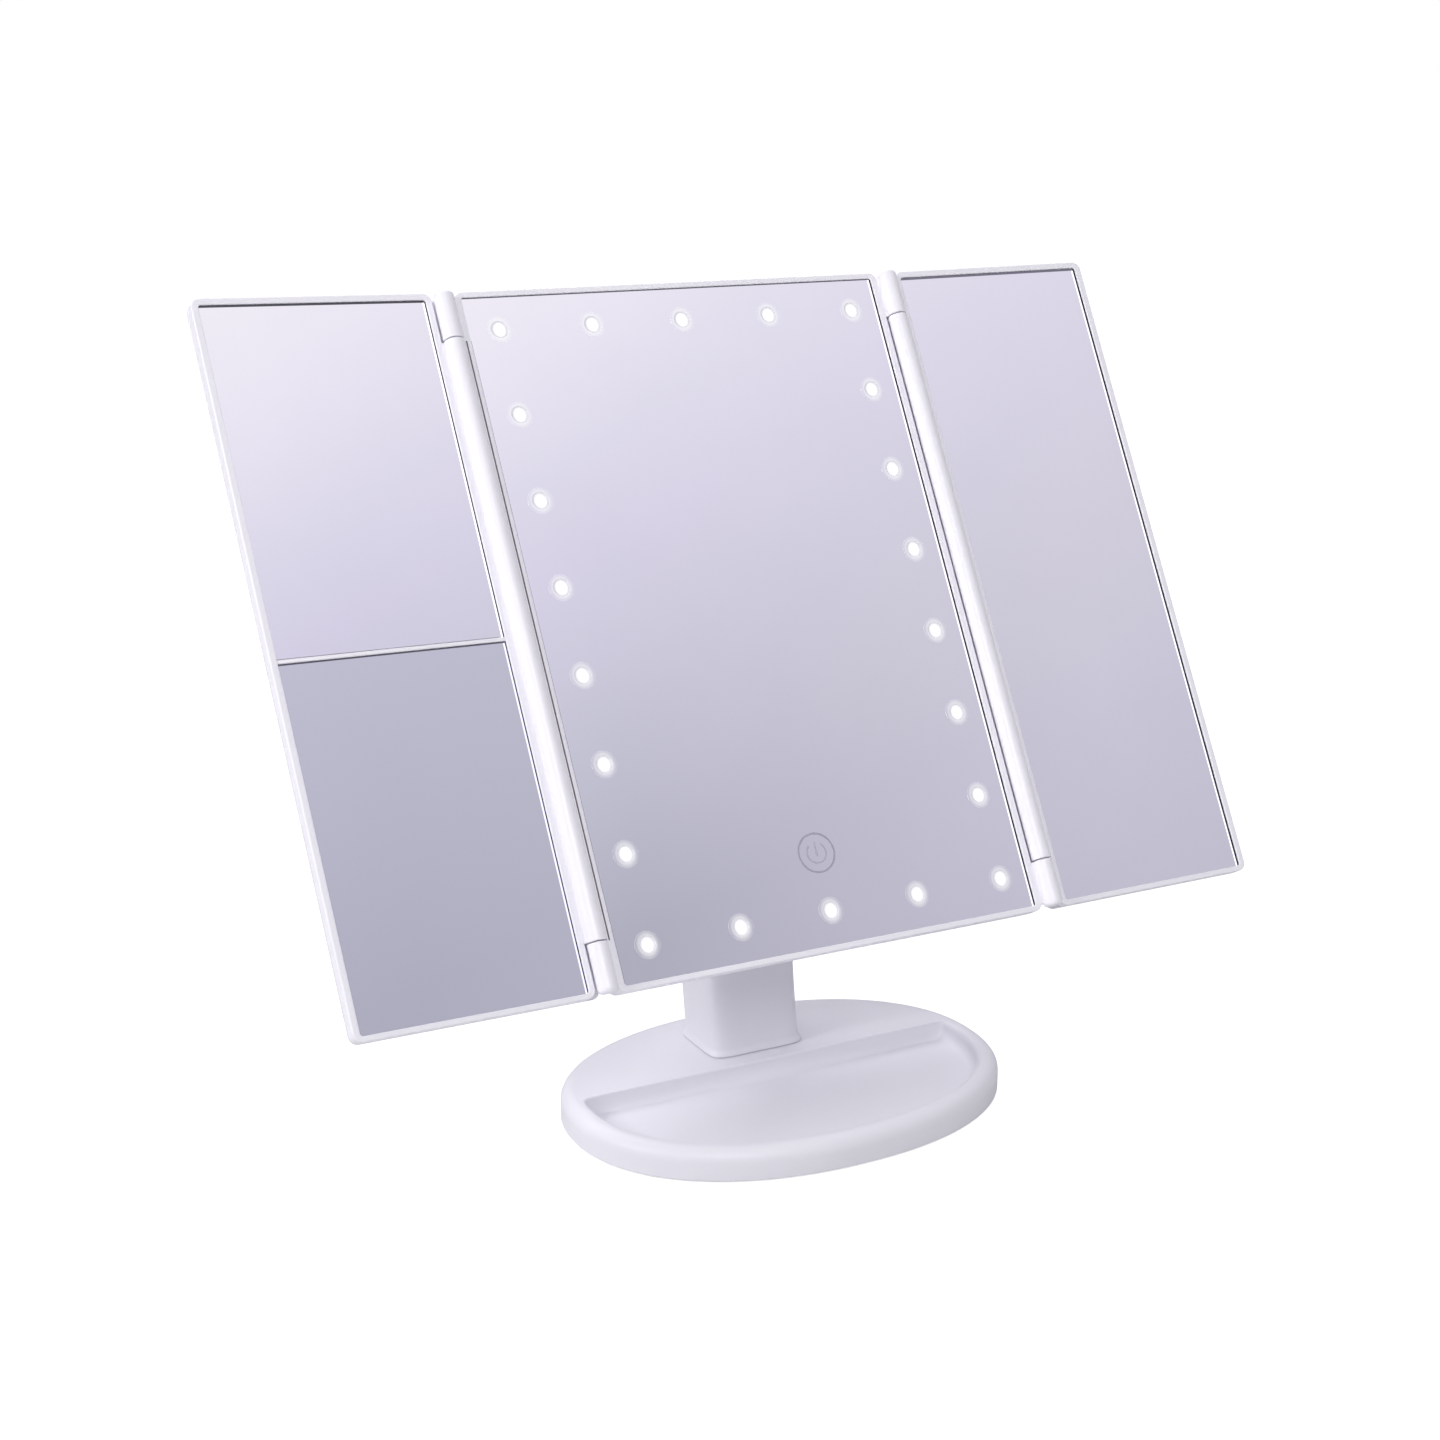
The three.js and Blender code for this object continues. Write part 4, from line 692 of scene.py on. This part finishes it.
def makeWindows(spec):
    # For each window a shallow dish turned about z, with a thin flange over the glass, on one sheet
    stud, rim, dish, proud, front, inset = pick(spec, "stud rim dish proud sheetFront sheetInset")
    back, deep = front - 0.2, -spec["dishDepth"]
    outline = np.array([
        (0.02, back), (1.5, back), (stud, back), (stud, 0.004), (rim, 0.004), (rim, proud),
        (rim - 0.1, proud), (dish + 0.3, proud), (dish + 0.15, proud), (dish + 0.05, proud / 2),
        (dish - 0.15, deep / 2), (dish - 0.4, deep), (1.6, deep), (1, deep), (0.02, deep)])
    rings = turnedRings(outline, spec["turns"])
    shells = [closedGrid(rings + np.array([*place, 0])) for place in windowPlaces(spec)]
    half = glass["halfWidth"] - inset
    shells.append(roundedBlock((-half, glass["bottom"] + inset, spec["sheetBack"]),
                               (half, glass["top"] - inset, front), 0.15))
    mesh = meshOf("lightWindows", shells, onPanel)
    co = np.empty(len(mesh.vertices) * 3)
    mesh.vertices.foreach_get("co", co)
    local = co.reshape(-1, 3) / mm - tiltPlace
    flat = np.stack([local @ panelRight, local @ panelUp], -1)
    offsets = flat[:, None] - windowPlaces(spec)[None]
    for name, stretch in (("fromCentre", 1), ("fromOval", np.array(spec["oval"]))):
        nearest = np.linalg.norm(offsets * stretch, axis=-1).min(1)
        mesh.attributes.new(name, "FLOAT", "POINT").data.foreach_set("value", nearest)
    litPlastic(spec)
    finishPiece(mesh, "litPlastic", "panel", ["window_diffuser"])


makeWindows(windows)

touch = {
    "y": -90.2, "ring": 6.6, "line": 0.7, "arc": 3.5, "arcLine": 0.6, "gap": 38, "bar": (-1.2, 3.9),
    "barHalf": 0.3, "proud": 0.03, "sunk": 0.02, "steps": 97,
    "ringGrey": (0.40, 0.40, 0.50), "signGrey": (0.47, 0.46, 0.56),
}


def flatArc(radius, line, start, end, spec):
    # A flat band between two radii and two angles in degrees, a few hundredths proud of the glass
    angle = np.radians(np.linspace(start, end, spec["steps"]))[:, None]
    inner, outer, low, high = radius - line / 2, radius + line / 2, -spec["sunk"], spec["proud"]
    corners = np.array([(inner, low), (outer, low), (outer, high), (inner, high)])
    x = corners[:, 0] * np.cos(angle)
    up = spec["y"] + corners[:, 0] * np.sin(angle)
    return np.stack([x, up, np.broadcast_to(corners[:, 1], x.shape)], -1)


def printedTone(name, tone):
    paint = newPaint(name)
    paint.surface({"Base Color": paint.blend(paint.noise(3000, 2, 0.5), tone, scaled(tone, 0.94)),
                   "Roughness": 0.45})


def makeTouchSymbol(spec):
    # A ring, an arc that is open by a gap on both sides of the top, and a bar in the gap
    y, radius, line, arcRadius, arcLine = pick(spec, "y ring line arc arcLine")
    gap, (low, high), half, sunk, proud = pick(spec, "gap bar barHalf sunk proud")
    ring = flatArc(radius, line, 0, 360 - 3.75, spec)
    arc = flatArc(arcRadius, arcLine, 90 + gap, 450 - gap, spec)
    bar = roundedBlock((-half, y + low, -sunk), (half, y + high, proud), 0.01)
    for name, shells, material in (("touchRing", [closedGrid(ring, loop=True)], "ringGrey"),
                                   ("powerSign", [closedGrid(arc), bar], "signGrey")):
        printedTone(material, spec[material])
        finishPiece(meshOf(name, shells, onPanel), material, "panel", [])


makeTouchSymbol(touch)

paintedGlassEdge = {  # painted shade: a dark line where the silver ends, then a painted reflection of the bezel as a thin glowing band, in mm
    # For each glass: width of the painted shade line at the right edge, width and grey of the one along the
    # top
    "center": (0.66, 0.38, 0.18), "right": (0.78, 0.90, 0.24),
    "upperLeft": (0.42, 0.72, 0.10), "lowerLeft": (0.40, 0.28, 0.18),
    "soft": 0.06, "shadeLineTone": (0.05, 0.05, 0.06), "pale": 0.62, "reflectionGlow": 0.8,
    "leftLine": 0.3, "leftShadeTone": (0.45, 0.45, 0.48),  # the thin grey painted shade line down the centre glass
}


def toNearest(paint, value, first, pitch):
    # Distance from the nearest of evenly spaced lines
    shifted = paint.math("SUBTRACT", value, first)
    line = paint.math("ROUND", paint.math("DIVIDE", shifted, pitch))
    return paint.math("SUBTRACT", shifted, paint.times(line, pitch))


def haloOf(paint, u, v, spec):
    # Glow round each window: the distance to the nearest point of their grid, near the border only
    right, low, high = spec["right"], spec["bottom"], spec["top"]
    parts = (toNearest(paint, u, -right, 2 * right / (spec["columns"] - 1)),
             toNearest(paint, v, low, (high - low) / (spec["rows"] - 1)))
    parts = [paint.times(part, stretch) for part, stretch in zip(parts, spec["oval"])]
    squares = [paint.times(part, part) for part in parts]
    glow = haloAt(paint, paint.math("SQRT", paint.math("ADD", *squares)), spec)
    shares = [paint.math("DIVIDE", u, right),
              paint.math("DIVIDE", paint.math("SUBTRACT", v, (low + high) / 2), (high - low) / 2)]
    shares = [paint.math("ABSOLUTE", share) for share in shares]
    border = paint.math("GREATER_THAN", paint.math("MAXIMUM", *shares), 0.85)
    return paint.times(glow, border)


def silverGlass(name, tint, origin, across, right, top, spec, lit=None, greyGlow=None):
    # u runs across the glass and v up it; each painted line begins or ends at a distance from an edge
    paint = newPaint(name + "Glass")
    u, v = paint.along(origin, across), paint.along(origin, panelUp)
    (dark, topDark, grey), soft, pale = spec[name], spec["soft"], spec["pale"]
    fromRight = paint.math("SUBTRACT", right, u)
    fromTop = paint.times(paint.math("SUBTRACT", top, v), dark / topDark)
    # painted shade: the silver gives way to a dark line along the right edge and a grey one along the top
    clear = paint.spread(paint.math("MINIMUM", fromRight, fromTop), (dark, dark + soft))
    # painted reflection: a pale glowing band of the bezel just inside the right line
    reflectionShare = paint.spread(fromRight, (dark + pale, dark + pale + soft), (1, 0))
    glow = paint.times(paint.times(clear, reflectionShare), spec["reflectionGlow"])
    cloud = paint.spread(paint.noise(30, 3, 0.6), middling)
    tone = paint.blend(cloud, tint, scaled(tint, 0.985))
    if lit:
        # painted shade: a grey line down the left edge of the centre glass, below the upper knuckles
        start = spec["leftLine"] - right
        fromLeft = paint.spread(u, (start, start + soft), (1, 0))
        below = paint.math("LESS_THAN", v, frames["top"] - frames["knuckle"])
        tone = paint.blend(paint.times(fromLeft, below), tone, spec["leftShadeTone"])
        halo = haloOf(paint, u, v, lit)
        tone = paint.blend(halo, tone, (0, 0, 0))
        glow = paint.math("ADD", glow, halo)
    # painted reflection: an even glow over the lower left glass
    if greyGlow:
        glow = paint.math("ADD", glow, paint.times(clear, greyGlow["share"]))
    # the right line takes the dark tone and the top line its grey, both painted shade
    atRight = paint.math("LESS_THAN", fromRight, dark + soft)
    line = paint.blend(atRight, (grey, grey, 1.1 * grey), spec["shadeLineTone"])
    paint.surface({"Base Color": paint.blend(clear, line, tone), "Metallic": 1,
                   "Roughness": paint.spread(cloud, (0, 1), (0.025, 0.05)), "Emission Strength": glow,
                   "Emission Color": greyGlow["tone"] if greyGlow else (0.99, 0.98, 1)})


def dressMirrors(tints):
    # Distances count from the tilt axis for the centre glass and from its hinge for each wing's
    silverGlass("center", tints["center"], tiltPlace, panelRight, glass["halfWidth"], glass["top"],
                paintedGlassEdge, lit=windows)
    dress("centerGlass", "center_mirror")
    wingTop = frames["top"] - wingBezel["top"]
    dividerTop = divider["height"] - divider["width"] / 2 - 0.25
    inner = frames["wingInner"] + wingBezel["left"]
    outer = frames["wingOuter"] - wingBezel["right"]
    for side, node, name, right, top, greyGlow in (
            (1, "right_mirror", "right", outer, wingTop, None),
            (-1, "left_upper_mirror", "upperLeft", -inner, wingTop, None),
            (-1, "left_lower_mirror", "lowerLeft", -inner, dividerTop, greyReflectionGlow)):
        turn = wingHinge["turn"][side]
        across = math.cos(turn) * panelRight + side * math.sin(turn) * panelOut
        hinge = onPanel(np.array([[side * wingHinge["x"], 0, wingHinge["lift"]]]))[0]
        silverGlass(name, tints[name], hinge, across, right, top, paintedGlassEdge, greyGlow=greyGlow)
        dress(name + "Glass", node)


dressMirrors(mirrorTints)
print("mirrors silvered")

shell = {
    "halfWidth": 80.25, "bottom": -123.1, "top": 113.02, "front": -5.3, "back": -14, "edge": 5, "corner": 3,
    "housingHalf": 45, "housingLow": -14, "housingHigh": 89.94, "rise": 9.5, "housingCorner": 12,
    "housingEdge": 4, "flare": 2.5,
    "slotHalf": 19.8, "slotHigh": -13.2, "slotFloor": -6.5, "cheekHalf": 15.8, "cheekHigh": 10.5,
    "wellHalf": 29, "wellLow": 18, "wellHigh": 77.2, "wellFloor": -7.2,
    "doorHalf": 33, "doorLow": 12.3, "doorDeep": 1.5, "doorGap": 0.3,
    "tongue": (26, 31), "tongueLow": 7.3, "tongueRoot": 14.3, "tongueBack": -21.4, "tongueFront": -20.1,
    "gripHalf": 9, "gripTop": 82, "gripPitch": 2.4, "gripDeep": 0.5, "grips": 4,
    "inletFrom": 37.2, "inletLow": 9.95, "inletHigh": 18.05, "inletBack": -20.1, "inletFront": -16.8,
    "boreRadius": 3.3, "screwX": 75.1, "screwHeights": (-80, -5, 70), "sinkRadius": 2.2, "sinkFloor": -12.3,
    "holeRadius": 1.4,
}


def shellBody(spec):
    edge, back, front, half, bottom, top = pick(spec, "edge back front halfWidth bottom top")
    return edgedBody((-half, half, bottom, top), spec["corner"], back, edge, [0, 0],
                     [back + edge + 0.3, front], 7, 6)


def housingBody(spec):
    # The raised plateau: its rounded edge, a short wall and the flare into the shell
    run, rise = quarter(7)
    edge, flare, back, tall, half = pick(spec, "housingEdge flare back rise housingHalf")
    low, high, corner = pick(spec, "housingLow housingHigh housingCorner")
    face = back - tall
    insets = [0, 0, *(-flare * run), -flare]
    heights = [face + edge + 0.2, back - flare - 0.2, *(back - flare * (1 - rise)), spec["front"] - 1]
    return edgedBody((-half, half, low, high), corner, face, edge, insets, heights, 7, 12)


def sunkScrew(x, y, spec):
    # The sink for a screw's head, slightly broken at its mouth, and the hole for its shank
    wide, narrow, back, floor = pick(spec, "sinkRadius holeRadius back sinkFloor")
    outline = np.array([(0.05, back - 9), (wide + 0.3, back - 9), (wide + 0.3, back), (wide, back + 0.3),
                        (wide, floor), (narrow, floor), (narrow, -1), (0.05, -1)])
    return closedGrid(turnedRings(outline, 36) + np.array([x, y, 0]))


def makeBackShell(spec):
    # The shell joined with the housing, then cut by the neck's slot, the gap between the hinge's cheeks,
    # the well for the cells, the door's seat, the inlet, the tongues' slots, the axle's bore and the screws
    back, tall, doorDeep, gap, (near, away) = pick(spec, "back rise doorDeep doorGap tongue")
    bottom, slot, slotHigh, floor, cheek, cheekHigh = pick(
        spec, "bottom slotHalf slotHigh slotFloor cheekHalf cheekHigh")
    well, wellLow, wellHigh, wellFloor, door, doorLow = pick(
        spec, "wellHalf wellLow wellHigh wellFloor doorHalf doorLow")
    half, high, inletFrom, inletLow, inletHigh, inletBack, inletFront = pick(
        spec, "housingHalf housingHigh inletFrom inletLow inletHigh inletBack inletFront")
    tongueLow, tongueRoot, tongueFront, bore = pick(spec, "tongueLow tongueRoot tongueFront boreRadius")
    far, seat, door, reach = back - 30, back - tall + doorDeep, door + gap, half - 6
    cuts = [
        roundedBlock((-slot, bottom - 9, far), (slot, slotHigh, floor), 0.3),
        roundedBlock((-cheek, slotHigh - 3, far), (cheek, cheekHigh, floor), 0.3),
        roundedBlock((-well, wellLow, far), (well, wellHigh, wellFloor), 0.3),
        roundedBlock((-door, doorLow - gap, far), (door, high + 5, seat + gap), 0.1),
        roundedBlock((inletFrom, inletLow, inletBack), (half + 5, inletHigh, inletFront), 0.1),
    ]
    for side in (-1, 1):
        inner, outer = sorted((side * (near - gap), side * (away + gap)))
        cuts.append(roundedBlock((inner, tongueLow - gap, seat),
                                 (outer, tongueRoot + 11, tongueFront + gap), 0.1))
    outline = np.array([(0.05, -reach), (bore, -reach), (bore, reach), (0.05, reach)])
    cuts.append(closedGrid(turnedRings(outline, 36)[:, :, [2, 1, 0]] + np.array([0, 0, -axisBehindGlass])))
    cuts += [sunkScrew(side * spec["screwX"], y, spec)
             for side in (-1, 1) for y in spec["screwHeights"]]
    steps = [("UNION", housingBody(spec))] + [("DIFFERENCE", cut) for cut in cuts]
    finishPiece(combined("backShell", onPanel, shellBody(spec), steps), "shellPlastic",
                "panel", ["center_back_shell"], 32)


def makeBatteryDoor(spec):
    # The slice of the housing over the cells, with two tongues below and finger grooves above
    back, tall, deep, half, low, high = pick(spec, "back rise doorDeep doorHalf doorLow housingHigh")
    (near, away), tongueLow, root, tongueBack, front = pick(
        spec, "tongue tongueLow tongueRoot tongueBack tongueFront")
    grip, gripTop, pitch, gripDeep, grips = pick(spec, "gripHalf gripTop gripPitch gripDeep grips")
    face = back - tall
    inner = face + deep
    steps = [("INTERSECT", roundedBlock((-half, low, face - 9), (half, high + 5, inner), 0.15))]
    for side in (-1, 1):
        left, right = sorted((side * near, side * away))
        arm = roundedBlock((left, low + 0.2, inner - 0.5), (right, root, front), 0.1)
        hook = roundedBlock((left, tongueLow, tongueBack), (right, root - 0.2, front - 0.01), 0.1)
        steps += [("UNION", arm), ("UNION", hook)]
    for y in gripTop - pitch * np.arange(grips):
        groove = roundedBlock((-grip, y - 0.6, face - 3), (grip, y + 0.6, face + gripDeep), 0.2)
        steps.append(("DIFFERENCE", groove))
    finishPiece(combined("batteryDoor", onPanel, housingBody(spec), steps), "shellPlastic",
                "battery_door", ["battery_door"], 32)


makeBackShell(shell)
makeBatteryDoor(shell)

wingCover = {"inner": 0.6, "front": -3.7, "back": -5.6, "edge": 1.2}


def makeWingCover(name, side, spec):
    # A thin plate behind each wing with a quarter-round back edge
    inner, edge, back, front = pick(spec, "inner edge back front")
    outer, bottom, top, corner = pick(frames, "wingOuter bottom top corner")
    plate = edgedBody((inner, outer, bottom, top), corner, back, edge, [0, 0.12],
                      [front - 0.12, front], 5, 7)
    body = wingBody[side]
    finishPiece(meshOf(name, [plate], onWing(side)), "shellPlastic", body, [body + "_back"])


makeWingCover("leftWingCover", -1, wingCover)
makeWingCover("rightWingCover", 1, wingCover)

studio = {
    "ambient": (0.98, 0.97, 1.0), "ambientStrength": 0.43,
    # What the mirrors look at, by the height of the direction: dim side and bright side
    "skyDim": [
        (0.36, (0.42, 0.415, 0.50)), (0.57, (0.44, 0.435, 0.53)), (0.616, (0.525, 0.518, 0.63)),
        (0.656, (0.60, 0.59, 0.71)), (0.693, (0.695, 0.66, 0.81)), (0.723, (0.75, 0.725, 0.86)),
        (0.752, (0.845, 0.81, 0.925)), (0.80, (0.95, 0.92, 0.98))],
    "skyBright": [
        (0.36, (0.50, 0.485, 0.585)), (0.509, (0.56, 0.542, 0.655)), (0.567, (0.61, 0.593, 0.71)),
        (0.612, (0.655, 0.628, 0.735)), (0.654, (0.695, 0.668, 0.795)), (0.695, (0.76, 0.73, 0.86)),
        (0.75, (0.86, 0.83, 0.92)), (0.80, (0.95, 0.92, 0.97))],
    "brightFrom": (0.40, 0.56),  # over this stretch of x the dim side gives way to the bright one
    "floor": (0.70, 0.70, 0.71), "floorGlow": 0.72, "floorHalf": 3.0,
}
lamps = {  # place and size in metres, power in watts, tone
    "keyLamp": ((-1.65, -0.10, 1.08), (0.6, 0.6), 12.6, (1.0, 0.99, 1.0)),
    "frontLamp": ((-0.57, -1.42, 1.27), (0.9, 0.7), 10.8, (1.0, 0.99, 1.0)),
    "backLamp": ((-0.05, 1.18, 1.63), (2.2, 0.9), 12.0, (0.99, 0.985, 1.0)),
}


def makeFloor(spec):
    # A square of pale paper whose glow only the camera sees, so that it comes out white
    half, pale = spec["floorHalf"], spec["floor"]
    mesh = bpy.data.meshes.new("floor")
    corners = [(x * half, y * half, 0) for x, y in ((-1, -1), (1, -1), (1, 1), (-1, 1))]
    mesh.from_pydata(corners, [], [(0, 1, 2, 3)])
    paint = newPaint("floorPaper")
    seen = paint.add("LightPath").outputs["Is Camera Ray"]
    paint.surface({"Base Color": paint.blend(paint.noise(400, 3, 0.5), pale, scaled(pale, 1.02)),
                   "Roughness": 0.9, "Emission Color": (1, 1, 1),
                   "Emission Strength": paint.times(seen, spec["floorGlow"])})
    mesh.materials.append(materials["floorPaper"])
    floor = placed("floor", mesh)


def makeWorld(spec):
    # An even pale light, plain white to the camera, and for reflections a sky that pales with height
    # and, low down, to the right
    world = bpy.data.worlds.new("studioWorld")
    bpy.context.scene.world = world
    paint = Paint(world)
    ambient = paint.tree.nodes["Background"]
    paint.feed(ambient.inputs["Color"], spec["ambient"])
    paint.feed(ambient.inputs["Strength"], spec["ambientStrength"])
    white = paint.add("Background", {"Color": (1, 1, 1)})
    split = paint.add("SeparateXYZ", {0: paint.add("TexCoord").outputs["Generated"]}).outputs
    share = paint.spread(split["X"], spec["brightFrom"])
    tones = [paint.ramp(split["Z"], spec[side]) for side in ("skyDim", "skyBright")]
    sky = paint.add("Background", {"Color": paint.blend(share, *tones)})
    rays = paint.add("LightPath").outputs
    mixed = {"Fac": rays["Is Glossy Ray"], 1: ambient.outputs[0], 2: sky.outputs[0]}
    direct = paint.math("MAXIMUM", rays["Is Camera Ray"], rays["Is Transmission Ray"])
    whole = {"Fac": direct, 1: paint.add("MixShader", mixed).outputs[0], 2: white.outputs[0]}
    output = paint.tree.nodes["World Output"]
    paint.feed(output.inputs["Surface"], paint.add("MixShader", whole).outputs[0])


def makeLamp(name, place, size, power, tone):
    # A rectangle of light that faces the middle of the object
    data = bpy.data.lights.new(name, "AREA")
    data.shape = "RECTANGLE"
    data.size, data.size_y = size
    data.energy, data.color = power, tone
    lamp = placed(name, data)
    back = np.array(place) - np.array([0, 0, 0.15])
    back /= np.linalg.norm(back)
    right = np.cross([0, 0, 1], back)
    right /= np.linalg.norm(right)
    turn = Matrix((right, np.cross(back, right), back)).transposed()
    lamp.matrix_world = Matrix.Translation(place) @ turn.to_4x4()
    lamp.visible_camera = False


makeFloor(studio)
makeWorld(studio)
for name, values in lamps.items():
    makeLamp(name, *values)
bpy.context.scene.view_settings.view_transform = "Standard"
print("studio ready")
